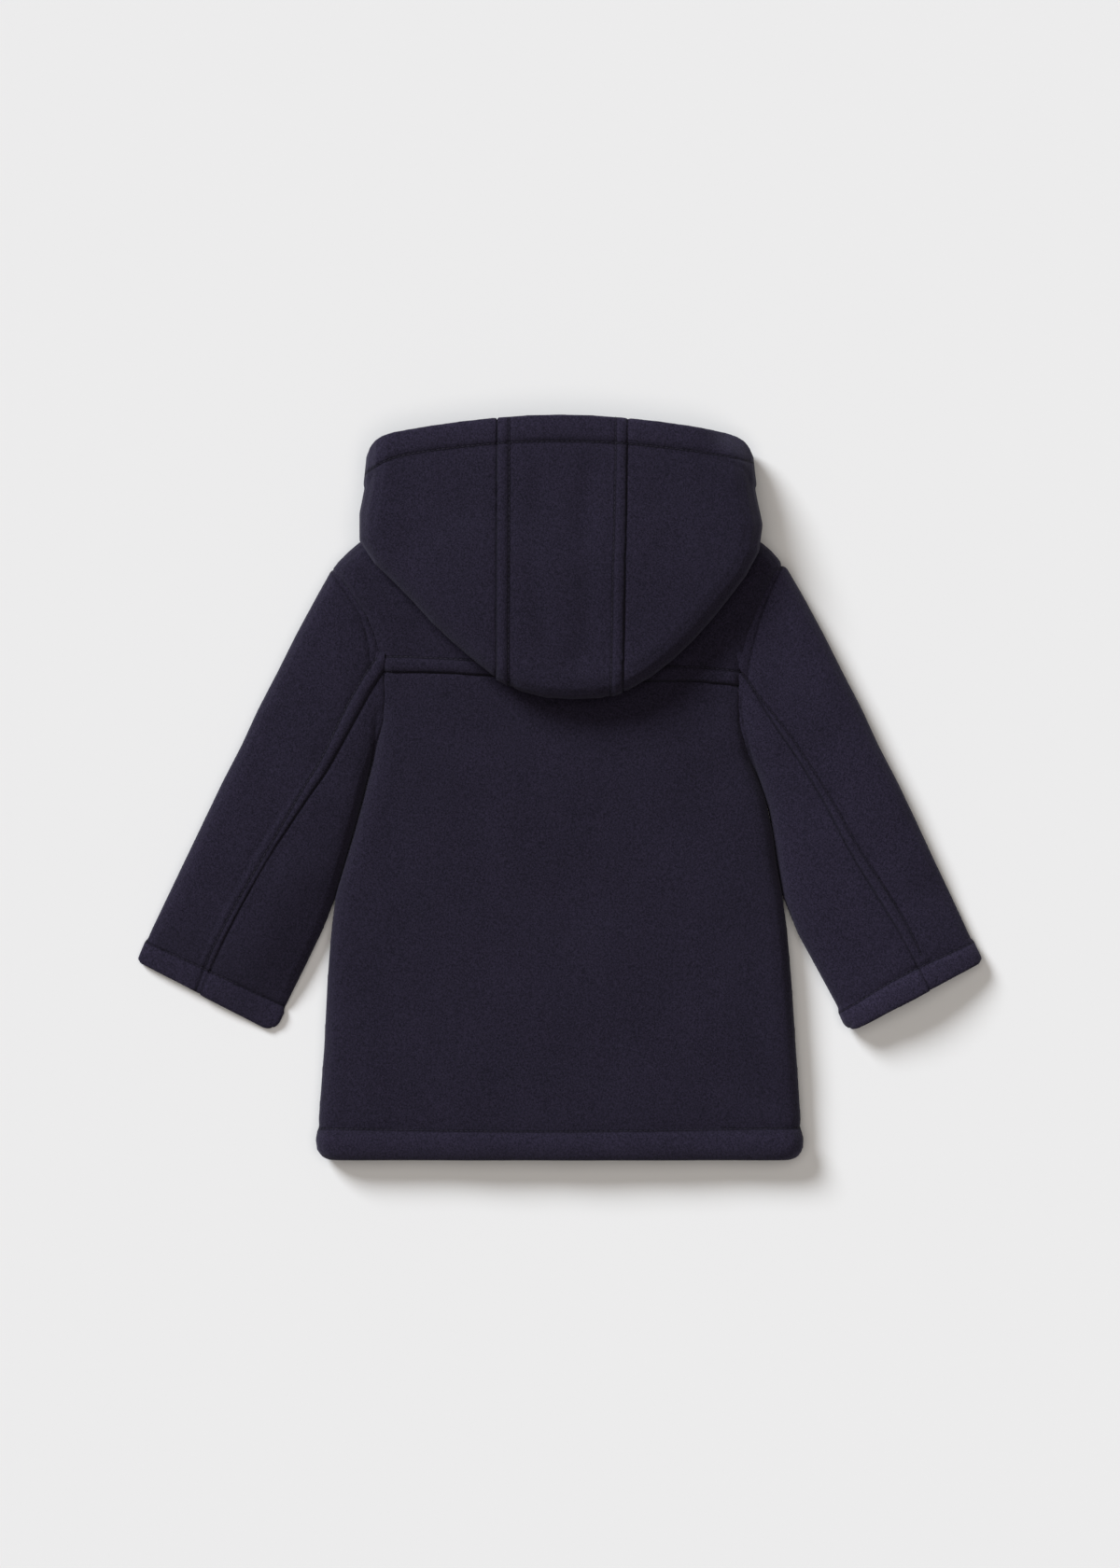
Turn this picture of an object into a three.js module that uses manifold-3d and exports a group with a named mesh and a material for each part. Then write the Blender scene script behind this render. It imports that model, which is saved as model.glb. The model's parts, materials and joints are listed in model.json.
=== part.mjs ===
// A small child's hooded coat in thick felted cloth, laid out front down with its hood spread
// over the back yoke. Millimetres. +X is the wearer's right, +Y runs up the coat to the hood
// and +Z is up. The origin lies on the surface, under the middle of the coat.
//
// Each part of the coat is a flattened tube of cloth. Its outer form is lofted through sections
// from a short table, its wall is that form less the same form one cloth thickness smaller,
// and the wall is cut into panels along the seams.

import * as THREE from "three";
import { mergeVertices } from "three/addons/utils/BufferGeometryUtils.js";
import Module from "manifold-3d";

const wasm = await Module();
wasm.setup();

// Driving sizes
const CLOTH = 3; // one layer of felted cloth
const SEAM_GAP = 0.3; // clearance between two panels at a seam
const TURNING = 1.8; // extra thickness that a turned hem adds inside
const PROUD = 1.2; // how far a turned hem or a lapped seam stands out
const BODY_HEM = 18; // depth of the hem round the body
const CUFF_HEM = 14.5; // depth of the hem round a cuff
const HOOD_HEM = 16.5; // depth of the band round the hood's face
const YOKE_LAP = 9.5; // width of the yoke's lapped edge
const SLEEVE_LAP = 7; // width of the lap along a sleeve's back seam
const HOOD_LAP = 8; // width of the laps along the hood's two seams
const SIDE_SEAM_IN = 15; // a side seam's distance in from the side fold, underneath
const FRONT_OVERLAP = 25; // how far each front passes the middle
const HEM_Y = -246; // lower edge of the coat
const NECK_HALF = 63; // half the neck's width at the shoulder line
const NECK_Y = 183; // the shoulder line at the side of the neck
const BACK_NECK_Y = 165; // middle of the back neck
const FRONT_NECK_Y = 127; // middle of the front neck
const MIDDLE_HEIGHT = 12; // parts the upper layer from the lower one
const CUT_TOP = 90; // above everything
const CUT_LOW = -10; // below everything
const FAR = 400; // beyond the coat on every side
const TAIL = 12; // how far a hollow is drawn out past its open end

// The body from hem to neck: each side fold, the height, and how far in the fold is rounded.
const BODY = [
  { y: -246, left: -152, right: 152, height: 19.5, roll: 10 },
  { y: -244, left: -156.4, right: 156.4, height: 21, roll: 10 },
  { y: -240, left: -159.4, right: 159.2, height: 22.4, roll: 11 },
  { y: -233, left: -160.6, right: 160, height: 23, roll: 11 },
  { y: -226, left: -159.2, right: 158.6, height: 23.3, roll: 11 },
  { y: -220, left: -159.8, right: 159.3, height: 23.5, roll: 11 },
  { y: -171, left: -156, right: 156, height: 24, roll: 11 },
  { y: -130, left: -154, right: 153.3, height: 24.3, roll: 11 },
  { y: -92, left: -151, right: 150, height: 24.6, roll: 11 },
  { y: -71, left: -148.3, right: 147.2, height: 24.8, roll: 11 },
  { y: -52, left: -143, right: 143.6, height: 25, roll: 11 },
  { y: -28, left: -136, right: 140.5, height: 25.3, roll: 11 },
  { y: -6, left: -130, right: 135.6, height: 25.6, roll: 11 },
  { y: 19, left: -124, right: 126, height: 26, roll: 11 },
  { y: 44, left: -120.2, right: 122, height: 26.5, roll: 11 },
  { y: 72, left: -121.5, right: 123.4, height: 27, roll: 11 },
  { y: 101, left: -128, right: 129, height: 28.2, roll: 12 },
  { y: 115, left: -133, right: 133.6, height: 28.8, roll: 12 },
  { y: 127, left: -141, right: 138.5, height: 29, roll: 12 },
  { y: 139, left: -148.6, right: 143.5, height: 28.8, roll: 13 },
  { y: 145, left: -150.5, right: 146.5, height: 28.4, roll: 14 },
  { y: 150, left: -146.5, right: 146, height: 28, roll: 16 },
  { y: 157, left: -139.5, right: 140, height: 27.2, roll: 20 },
  { y: 163, left: -132.5, right: 133, height: 26.3, roll: 28 },
  { y: 168, left: -118, right: 118.5, height: 25.4, roll: 34 },
  { y: 175, left: -93, right: 93.5, height: 24, roll: 36 },
  { y: 183, left: -64, right: 64.5, height: 22, roll: 34 },
];

// A sleeve from the armhole to the cuff: its outer fold, its inner fold and its height.
const LEFT_SLEEVE = [
  { outerX: -142, outerY: 147.5, innerX: -88, innerY: 100, height: 25 },
  { outerX: -151.5, outerY: 144, innerX: -94, innerY: 88, height: 25 },
  { outerX: -161, outerY: 127, innerX: -101, innerY: 70, height: 24.8 },
  { outerX: -174.5, outerY: 102, innerX: -111, innerY: 47, height: 24.4 },
  { outerX: -187, outerY: 77, innerX: -121, innerY: 25, height: 24 },
  { outerX: -200, outerY: 52, innerX: -128, innerY: 5, height: 23.5 },
  { outerX: -211, outerY: 28, innerX: -134.4, innerY: -19, height: 23 },
  { outerX: -224, outerY: 3, innerX: -141.4, innerY: -44, height: 22.5 },
  { outerX: -236, outerY: -22, innerX: -148.6, innerY: -69, height: 22 },
  { outerX: -248, outerY: -47, innerX: -158, innerY: -93, height: 21.5 },
  { outerX: -260, outerY: -72, innerX: -169, innerY: -116, height: 21 },
  { outerX: -272, outerY: -97, innerX: -181, innerY: -140, height: 20.5 },
  { outerX: -279.6, outerY: -115, innerX: -190.5, innerY: -161, height: 20 },
];
const RIGHT_SLEEVE = [
  { outerX: 142, outerY: 149.5, innerX: 88, innerY: 100, height: 25 },
  { outerX: 150, outerY: 146, innerX: 94, innerY: 88, height: 25 },
  { outerX: 161, outerY: 127, innerX: 101, innerY: 70, height: 24.8 },
  { outerX: 174.5, outerY: 102, innerX: 111, innerY: 48, height: 24.4 },
  { outerX: 187, outerY: 77, innerX: 120, innerY: 28, height: 24 },
  { outerX: 200, outerY: 52, innerX: 131, innerY: 9, height: 23.5 },
  { outerX: 211, outerY: 28, innerX: 139.6, innerY: -16, height: 23 },
  { outerX: 224, outerY: 3, innerX: 143.2, innerY: -42, height: 22.5 },
  { outerX: 236, outerY: -22, innerX: 148, innerY: -70, height: 22 },
  { outerX: 247.5, outerY: -47, innerX: 158.5, innerY: -96, height: 21.5 },
  { outerX: 259.5, outerY: -72, innerX: 170.5, innerY: -118, height: 21 },
  { outerX: 271, outerY: -97, innerX: 183, innerY: -141, height: 20.5 },
  { outerX: 279.6, outerY: -115, innerX: 192, innerY: -161, height: 20 },
];
const SLEEVE_ROLL = 10.5; // how far in a sleeve's two folds are rounded

// Back seam of each sleeve, from the armhole to the cuff, on the upper layer.
const LEFT_BACK_SEAM = [
  { x: -84, y: 130 },
  { x: -124, y: 66 },
  { x: -136, y: 44 },
  { x: -155, y: 10 },
  { x: -172, y: -14 },
  { x: -189, y: -40 },
  { x: -215, y: -85 },
  { x: -232, y: -121 },
  { x: -246, y: -152 },
];
const RIGHT_BACK_SEAM = [
  { x: 84, y: 130 },
  { x: 127, y: 66 },
  { x: 137, y: 49 },
  { x: 159, y: 17 },
  { x: 176, y: -11 },
  { x: 191, y: -41 },
  { x: 208, y: -68.5 },
  { x: 225, y: -96 },
  { x: 251, y: -145 },
];
const FRONT_SEAM_SHIFT = 10; // the sleeve's front seam lies this much nearer the body, below

// Seam between the yoke and the lower back, from side to side.
const YOKE_SEAM = [
  { x: -170, y: 76 },
  { x: -122, y: 77 },
  { x: -90, y: 77 },
  { x: -54, y: 75 },
  { x: 0, y: 72.5 },
  { x: 54, y: 71 },
  { x: 92, y: 71 },
  { x: 124, y: 67 },
  { x: 170, y: 66 },
];

// The hood's fold, seen from above, from the bottom of its back round its wearer's right side,
// past its face edge, where the band is cut, and back down its left side.
const HOOD_FOLD = [
  { x: 9, y: 59 },
  { x: 36, y: 61.5 },
  { x: 59, y: 73 },
  { x: 79, y: 89 },
  { x: 98, y: 109 },
  { x: 117, y: 133 },
  { x: 129, y: 151 },
  { x: 134, y: 169 },
  { x: 130.5, y: 189 },
  { x: 127.5, y: 210 },
  { x: 125.5, y: 232 },
  { x: 122, y: 262 },
  { x: 80, y: 274 },
  { x: 0, y: 276 },
  { x: -80, y: 274 },
  { x: -122, y: 262 },
  { x: -125.5, y: 232 },
  { x: -127.5, y: 210 },
  { x: -130.5, y: 189 },
  { x: -134, y: 170 },
  { x: -125, y: 152 },
  { x: -102, y: 129 },
  { x: -82, y: 107 },
  { x: -63, y: 90 },
  { x: -42, y: 73 },
  { x: -20, y: 62 },
];
const HOOD_CENTRE = { x: 0, y: 168 }; // the hood's rings shrink towards this place
const HOOD_ROLL = 13; // how far in the hood's fold is rounded

// The hood along its middle: height of its upper layer, and of the level its fold comes down to.
const HOOD_RISE = [
  { y: 40, top: 47, under: 29 },
  { y: 62, top: 49, under: 29 },
  { y: 90, top: 52.5, under: 29 },
  { y: 125, top: 54.5, under: 29 },
  { y: 148, top: 54.5, under: 27 },
  { y: 168, top: 53, under: 12 },
  { y: 184, top: 51, under: 0 },
  { y: 210, top: 48, under: 0 },
  { y: 246, top: 43, under: 0 },
  { y: 280, top: 40, under: 0 },
];
const HOOD_SIDE_FALL = 9; // how much lower the upper layer is at the hood's sides
const HOOD_HALF = 134; // half the hood's width

// Seams of the hood's centre strip at its face edge and at the bottom of the hood.
const HOOD_SEAMS = { y0: 260, left0: -41.5, right0: 45, y1: 50, left1: -42, right1: 41 };
const FACE_EDGE = { middle: 246, sideFall: 11.5, halfWidth: 110 };
// The face edge's rounded corner, from the side of the hood to the top.
const FACE_CORNER = [
  { x: 145, y: 213 },
  { x: 129, y: 217.5 },
  { x: 126.4, y: 222 },
  { x: 124.6, y: 226.2 },
  { x: 121.4, y: 229.6 },
  { x: 117, y: 232.2 },
];
const FLAP_EDGE = [
  { x: 5, y: 132 },
  { x: 52, y: 184 },
  { x: 128, y: 228 },
  { x: 140, y: 235 },
]; // the face edge underneath, from beside the middle of the front neck to the hood's side

// ---- curves ----

// A smooth function of a table's key column, through the values of another column.
function track(rows, key, column) {
  const slopes = rows.map((row, i) => {
    const before = rows[Math.max(i - 1, 0)];
    const after = rows[Math.min(i + 1, rows.length - 1)];
    return (after[column] - before[column]) / (after[key] - before[key]);
  });
  return (at) => {
    const last = rows.length - 2;
    const found = rows.findIndex((row, i) => i <= last && at <= rows[i + 1][key]);
    const i = found < 0 ? last : found;
    const span = rows[i + 1][key] - rows[i][key];
    const t = Math.min(Math.max((at - rows[i][key]) / span, 0), 1);
    const t2 = t * t;
    const t3 = t2 * t;
    return (
      rows[i][column] * (2 * t3 - 3 * t2 + 1) +
      slopes[i] * span * (t3 - 2 * t2 + t) +
      rows[i + 1][column] * (3 * t2 - 2 * t3) +
      slopes[i + 1] * span * (t3 - t2)
    );
  };
}

// Every row of a table, with more stations between rows that lie further apart than the step.
function stations(rows, key, step) {
  const all = [];
  for (let i = 0; i + 1 < rows.length; i += 1) {
    const count = Math.max(1, Math.round((rows[i + 1][key] - rows[i][key]) / step));
    for (let k = 0; k < count; k += 1) {
      all.push(rows[i][key] + ((rows[i + 1][key] - rows[i][key]) * k) / count);
    }
  }
  all.push(rows[rows.length - 1][key]);
  return all;
}

// From 0 at one value to 1 at another, eased at both ends.
function ease(from, to, at) {
  const t = Math.min(Math.max((at - from) / (to - from), 0), 1);
  return t * t * (3 - 2 * t);
}

// ---- solids ----

// A closed solid from a list of corners and a list of triangles.
function solidFrom(corners, triangles) {
  const mesh = new wasm.Mesh({
    numProp: 3,
    vertProperties: new Float32Array(corners.flat()),
    triVerts: new Uint32Array(triangles.flat()),
  });
  return new wasm.Manifold(mesh);
}

// Two triangles for each face between two neighbouring rings of a loft.
function bridge(firstRing, secondRing, count) {
  const triangles = [];
  for (let i = 0; i < count; i += 1) {
    const next = (i + 1) % count;
    triangles.push([firstRing + i, firstRing + next, secondRing + i]);
    triangles.push([firstRing + next, secondRing + next, secondRing + i]);
  }
  return triangles;
}

// A solid through rings of equal count, with each end closed by a fan about its middle.
function loft(rings) {
  const count = rings[0].length;
  const corners = rings.flat();
  const triangles = [];
  for (let r = 0; r + 1 < rings.length; r += 1) {
    triangles.push(...bridge(r * count, (r + 1) * count, count));
  }
  const endStarts = [0, (rings.length - 1) * count];
  [rings[0], rings[rings.length - 1]].forEach((ring, end) => {
    const middle = corners.length;
    corners.push([0, 1, 2].map((axis) => ring.reduce((sum, p) => sum + p[axis], 0) / count));
    for (let i = 0; i < count; i += 1) {
      const a = endStarts[end] + i;
      const b = endStarts[end] + ((i + 1) % count);
      triangles.push(end === 0 ? [middle, b, a] : [middle, a, b]);
    }
  });
  const solid = solidFrom(corners, triangles);
  return solid.volume() > 0 ? solid : solidFrom(corners, triangles.map(([a, b, c]) => [a, c, b]));
}

// An upright prism over an outline in plan, between two heights.
function prism(outline, low, high) {
  const shape = new THREE.Shape(outline.map(({ x, y }) => new THREE.Vector2(x, y)));
  const geometry = new THREE.ExtrudeGeometry(shape, { depth: high - low, bevelEnabled: false });
  geometry.translate(0, 0, low);
  geometry.deleteAttribute("normal");
  geometry.deleteAttribute("uv");
  const merged = mergeVertices(geometry);
  return new wasm.Manifold(
    new wasm.Mesh({
      numProp: 3,
      vertProperties: merged.attributes.position.array,
      triVerts: new Uint32Array(merged.index.array),
    }),
  );
}

// An outline between two lines that run the same way.
function between(firstLine, secondLine) {
  return [...firstLine, ...[...secondLine].reverse()];
}

// A line in plan moved sideways: to the left of its direction for a positive distance.
function moved(line, distance) {
  return line.map((point, i) => {
    const before = line[Math.max(i - 1, 0)];
    const after = line[Math.min(i + 1, line.length - 1)];
    const length = Math.hypot(after.x - before.x, after.y - before.y);
    const sideX = -(after.y - before.y) / length;
    const sideY = (after.x - before.x) / length;
    return { x: point.x + sideX * distance, y: point.y + sideY * distance };
  });
}

// A line in plan moved straight along X and Y.
function shifted(line, dx, dy) {
  return line.map(({ x, y }) => ({ x: x + dx, y: y + dy }));
}

// ---- flattened tubes ----

const FOLD_STEPS = 3; // faces in each quarter of a rounded side fold
const EDGE_FALL = 2.2; // how much lower the upper layer is where a side fold starts
const FOLD_MIDDLE = 0.48; // height of a fold's outermost line, as a share of the tube's

// Section of a flattened tube: [distance across, height] pairs, round from underneath. With a
// skirt its sides run straight down from the folds to that depth below the surface.
function tubeSection({ left, right, top, roll, floor, topFaces, skirt = 0 }) {
  const reach = Math.max(roll, 2);
  const edge = top - EDGE_FALL;
  const middle = floor + (edge - floor) * FOLD_MIDDLE;
  const centre = (left + right) / 2;
  const half = (right - left) / 2 - reach;
  const points = [[centre, skirt > 0 ? -skirt : floor]];
  const quarter = (foldX, radiusZ, from, firstStep) => {
    for (let k = firstStep; k <= FOLD_STEPS; k += 1) {
      const angle = from + (Math.PI / 2) * (k / FOLD_STEPS);
      const lower = Math.sin(angle) < -1e-9;
      const x = foldX + reach * (skirt > 0 && lower ? Math.sign(foldX - centre) : Math.cos(angle));
      const z = middle + radiusZ * Math.sin(angle);
      points.push([x, skirt > 0 && lower ? -skirt + (middle + skirt) * (1 + Math.sin(angle)) : z]);
    }
  };
  quarter(centre + half, middle - floor, -Math.PI / 2, 0);
  quarter(centre + half, edge - middle, 0, 1);
  for (let i = 1; i < topFaces; i += 1) {
    const u = Math.cos((Math.PI * i) / topFaces);
    points.push([centre + u * half, edge + EDGE_FALL * (1 - u * u)]);
  }
  quarter(centre - half, edge - middle, Math.PI / 2, 0);
  quarter(centre - half, middle - floor, Math.PI, 1);
  return points;
}

// ---- sleeves ----

const SLEEVE_TOP_FACES = 8;

// A sleeve's outer form, made larger or smaller all round, with its ends drawn out.
function sleeveForm(rows, grow, { floor = Math.max(-grow, 0), tail = 0 } = {}) {
  const rings = rows.map((row) => {
    const acrossX = row.innerX - row.outerX;
    const acrossY = row.innerY - row.outerY;
    const width = Math.hypot(acrossX, acrossY);
    return tubeSection({
      left: -grow,
      right: width + grow,
      top: row.height + grow,
      roll: SLEEVE_ROLL + grow,
      floor,
      topFaces: SLEEVE_TOP_FACES,
    }).map(([a, z]) => [
      row.outerX + (acrossX / width) * a,
      row.outerY + (acrossY / width) * a,
      z,
    ]);
  });
  if (tail > 0) {
    const last = rings[rings.length - 1];
    const before = rings[rings.length - 2];
    rings.push(last.map((p, i) => {
      const dx = p[0] - before[i][0];
      const dy = p[1] - before[i][1];
      const length = Math.hypot(dx, dy);
      return [p[0] + (dx / length) * tail, p[1] + (dy / length) * tail, p[2]];
    }));
  }
  return loft(rings);
}

// ---- body ----

const BODY_STEP = 22; // furthest apart of the body's sections
const BODY_TOP_FACES = 12;
const SLIDE_FROM = 141; // above this height the shoulders start to slope
const SLIDE_FULL = 158; // above this one they slope fully
const HEM_HALF = 200; // half the width of the hem's zone, past both sides
const LAP_ROOT = 1; // how deep a raised lap is rooted in its wall
const INNER_SEAM_Y = 117; // height of a side seam's upper end
const LAP_ENDS = [
  { x: -114, y: 77 },
  { x: 115.5, y: 68.5 },
]; // ends of the yoke's raised edge, short of the sleeves
const bodyLeft = track(BODY, "y", "left");
const bodyRight = track(BODY, "y", "right");
const bodyHeight = track(BODY, "y", "height");
const bodyRoll = track(BODY, "y", "roll");

// The body's outer form, made larger or smaller all round. Along the sloping shoulders its
// size is changed by sliding the sections along Y, which keeps the cloth's thickness there.
function bodyForm(grow, { floor = Math.max(-grow, 0), tail = 0, skirt = 0 } = {}) {
  const top = NECK_Y + grow;
  const heights = stations(BODY, "y", BODY_STEP).filter((y) => y < top - 1);
  const rings = [...heights, top].map((y) => {
    const slide = ease(SLIDE_FROM, SLIDE_FULL, y);
    const from = y - grow * slide;
    return tubeSection({
      left: bodyLeft(from) - grow * (1 - slide),
      right: bodyRight(from) + grow * (1 - slide),
      top: bodyHeight(y) + grow,
      roll: bodyRoll(from) + grow,
      floor,
      topFaces: BODY_TOP_FACES,
      skirt,
    }).map(([x, z]) => [x, y, z]);
  });
  if (tail > 0) rings.unshift(rings[0].map(([x, y, z]) => [x, y - tail, z]));
  return loft(rings);
}

// Half of the neck opening in plan: an arc from one side of the neck to the other, dipping to
// a lowest point in the middle, drawn in by a clearance.
function neckArc(lowestY, clearance = 0, from = -1, to = 1) {
  const count = 16;
  const half = NECK_HALF - clearance;
  const depth = NECK_Y - lowestY;
  return Array.from({ length: count + 1 }, (_, i) => {
    const angle = Math.asin(from) + ((Math.asin(to) - Math.asin(from)) * i) / count;
    return { x: half * Math.sin(angle), y: NECK_Y - depth * Math.cos(angle) + clearance };
  });
}

// The neck opening as an outline that runs on past the top of the coat.
function neckOutline(lowestY) {
  const beyond = NECK_Y + 20;
  return [...neckArc(lowestY), { x: NECK_HALF, y: beyond }, { x: -NECK_HALF, y: beyond }];
}

// The line where the fronts meet the yoke underneath, below the shoulder.
function frontYokeY(x) {
  return 153 - 0.49 * Math.max(Math.abs(x) - 53, 0);
}

// A side seam underneath, from the hem up to the front of the yoke.
function sideSeam(side, clearance = 0) {
  const fold = side < 0 ? bodyLeft : bodyRight;
  const count = 22;
  return Array.from({ length: count + 1 }, (_, i) => {
    const y = HEM_Y + ((INNER_SEAM_Y - HEM_Y) * i) / count;
    return { x: fold(y) - side * (SIDE_SEAM_IN - clearance), y };
  });
}

// The place of both fronts in plan, grown by a clearance.
function frontsOutline(clearance) {
  const left = sideSeam(-1, clearance);
  const right = sideSeam(1, clearance);
  left[0].y -= 5;
  right[0].y -= 5;
  const leftTop = left[left.length - 1];
  const rightTop = right[right.length - 1];
  const across = [leftTop.x, -53, 53, rightTop.x].map((x) => ({
    x,
    y: frontYokeY(x) + clearance,
  }));
  return [...left, ...across, ...right.reverse()];
}

// The hem's zone in plan: everything nearer than its depth to the coat's lower edge. It is a
// little deeper at both sides.
function hemZone(depth) {
  const top = HEM_Y + depth;
  return [
    { x: -HEM_HALF, y: HEM_Y - TAIL },
    { x: HEM_HALF, y: HEM_Y - TAIL },
    { x: HEM_HALF, y: top + 1.5 },
    { x: 0, y: top },
    { x: -HEM_HALF, y: top + 2 },
  ];
}

// The body's whole wall, with its turned hem.
function bodyWall() {
  const wall = bodyForm(0).subtract(bodyForm(-CLOTH, { tail: TAIL }));
  const turned = bodyForm(PROUD).subtract(bodyForm(-CLOTH - TURNING, { tail: TAIL }));
  return wall.add(turned.intersect(prism(hemZone(BODY_HEM), CUT_LOW, CUT_TOP)));
}

// The raised edge of the yoke over the lower back, grown by a clearance.
function yokeLapZone(clearance) {
  const seam = YOKE_SEAM.filter(({ x }) => Math.abs(x) < LAP_ENDS[1].x - 15);
  const line = [LAP_ENDS[0], ...seam, LAP_ENDS[1]];
  return between(moved(line, -clearance), moved(line, YOKE_LAP + clearance));
}

// Both sides of the body's wall, parted at the yoke seam, without the fronts.
function backPanels() {
  const cut = SEAM_GAP / 2;
  const fronts = prism(frontsOutline(SEAM_GAP), CUT_LOW, CLOTH + TURNING + 1);
  const backNeck = prism(neckOutline(BACK_NECK_Y), MIDDLE_HEIGHT, CUT_TOP);
  const frontNeck = prism(neckOutline(FRONT_NECK_Y), CUT_LOW, MIDDLE_HEIGHT + 0.5);
  const lap = bodyForm(PROUD)
    .subtract(bodyForm(-LAP_ROOT))
    .intersect(prism(yokeLapZone(0), MIDDLE_HEIGHT, CUT_TOP));
  const wall = bodyWall()
    .subtract(fronts)
    .subtract(backNeck)
    .subtract(frontNeck)
    .subtract(sleeveForm(LEFT_SLEEVE, -CLOTH - 0.2))
    .subtract(sleeveForm(RIGHT_SLEEVE, -CLOTH - 0.2));
  const above = between(moved(YOKE_SEAM, cut), shifted(YOKE_SEAM, 0, FAR));
  const below = between(moved(YOKE_SEAM, -cut), shifted(YOKE_SEAM, 0, -FAR));
  return {
    yoke: wall.add(lap).intersect(prism(above, CUT_LOW, CUT_TOP)),
    back: wall.intersect(prism(below, CUT_LOW, CUT_TOP)),
  };
}

// ---- fronts ----

const FRONT_SHOULDER_X = 53.2; // where the front neck meets the yoke, from the middle
const STEP_WIDTH = 5; // width of the step where one front rises on to the other

// One front's outline in plan, from its side seam to its edge past the middle.
function frontOutline(side, edge) {
  const seam = sideSeam(side);
  const top = seam[seam.length - 1];
  const neckEnd = FRONT_SHOULDER_X * side;
  const neck = neckArc(FRONT_NECK_Y, 0, neckEnd / NECK_HALF, edge / NECK_HALF);
  return [...seam, { x: top.x, y: frontYokeY(top.x) }, ...neck, { x: edge, y: HEM_Y }];
}

// A front's turned hem, which stops where the two fronts overlap.
function frontHem(side) {
  const inner = FRONT_OVERLAP + STEP_WIDTH + 2;
  const seam = sideSeam(side).filter(({ y }) => y < HEM_Y + BODY_HEM);
  const top = HEM_Y + BODY_HEM;
  const fold = side < 0 ? bodyLeft : bodyRight;
  const outline = [
    { x: side * inner, y: HEM_Y },
    ...seam,
    { x: fold(top) - side * SIDE_SEAM_IN, y: top },
    { x: side * inner, y: top },
  ];
  return prism(outline, 0, CLOTH + TURNING);
}

// The front that lies on the surface, and passes the middle underneath the other one.
function frontLeft() {
  return prism(frontOutline(-1, FRONT_OVERLAP), 0, CLOTH).add(frontHem(-1));
}

// The front that steps up beside the other one's edge and lies on it past the middle.
function frontRight() {
  const edge = FRONT_OVERLAP + SEAM_GAP;
  const raised = CLOTH + SEAM_GAP;
  const stepped = frontOutline(1, -FRONT_OVERLAP).filter(({ x }) => x <= edge + STEP_WIDTH);
  const stepTop = { x: edge + STEP_WIDTH, y: stepped[0].y };
  const over = prism([stepTop, ...stepped, { x: stepTop.x, y: HEM_Y }], raised, raised + CLOTH);
  const riserTop = stepTop.y - STEP_WIDTH;
  const riser = [
    { x: edge, y: HEM_Y },
    { x: stepTop.x, y: HEM_Y },
    { x: stepTop.x, y: riserTop },
    { x: edge, y: riserTop },
  ];
  return prism(frontOutline(1, edge), 0, CLOTH)
    .add(over)
    .add(prism(riser, CLOTH / 2, raised + CLOTH / 2))
    .add(frontHem(1));
}

// ---- sleeve panels ----

// The zone of a turned hem at a cuff, in plan.
function cuffZone(rows, depth) {
  const end = rows[rows.length - 1];
  const before = rows[rows.length - 2];
  const alongX = end.outerX - before.outerX;
  const alongY = end.outerY - before.outerY;
  const length = Math.hypot(alongX, alongY);
  const past = 0.08; // share of the cuff's width that the zone runs past each fold
  const mix = (a, b) => a * (1 + past) - b * past;
  const cuff = [
    { x: mix(end.outerX, end.innerX), y: mix(end.outerY, end.innerY) },
    { x: mix(end.innerX, end.outerX), y: mix(end.innerY, end.outerY) },
  ];
  const back = -depth / length;
  const on = (2 * TAIL) / length;
  return between(
    shifted(cuff, alongX * back, alongY * back),
    shifted(cuff, alongX * on, alongY * on),
  );
}

// The two panels of a sleeve, parted at its back seam above and its front seam underneath.
function sleevePanels(side, rows, backSeam) {
  const tail = TAIL;
  const split = 10; // height between the sleeve's layers
  const out = { x: side * 190, y: 108 }; // from the seam past the sleeve's outer fold
  const away = (line) => between(line, shifted(line, out.x, out.y));
  const frontSeam = moved(backSeam, -side * FRONT_SEAM_SHIFT);
  const outerZone = (clearance) =>
    prism(away(moved(backSeam, side * clearance)), split, CUT_TOP).add(
      prism(away(moved(frontSeam, side * clearance)), CUT_LOW, split + 0.5),
    );
  const turned = sleeveForm(rows, PROUD)
    .subtract(sleeveForm(rows, -CLOTH - TURNING, { tail }))
    .intersect(prism(cuffZone(rows, CUFF_HEM), CUT_LOW, CUT_TOP));
  const lapZone = between(backSeam, moved(backSeam, side * SLEEVE_LAP));
  const lap = sleeveForm(rows, PROUD)
    .subtract(sleeveForm(rows, -LAP_ROOT))
    .intersect(prism(lapZone, split, CUT_TOP))
    .subtract(prism(cuffZone(rows, CUFF_HEM - 1), CUT_LOW, CUT_TOP));
  const wall = sleeveForm(rows, 0)
    .subtract(sleeveForm(rows, -CLOTH, { tail }))
    .add(turned)
    .subtract(bodyForm(SEAM_GAP, { floor: -SEAM_GAP }));
  const lapCut = lap.subtract(bodyForm(SEAM_GAP, { floor: -SEAM_GAP }));
  return {
    upper: wall.add(lapCut).intersect(outerZone(SEAM_GAP / 2)),
    under: wall.subtract(outerZone(-SEAM_GAP / 2)),
  };
}

// ---- hood ----

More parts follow.
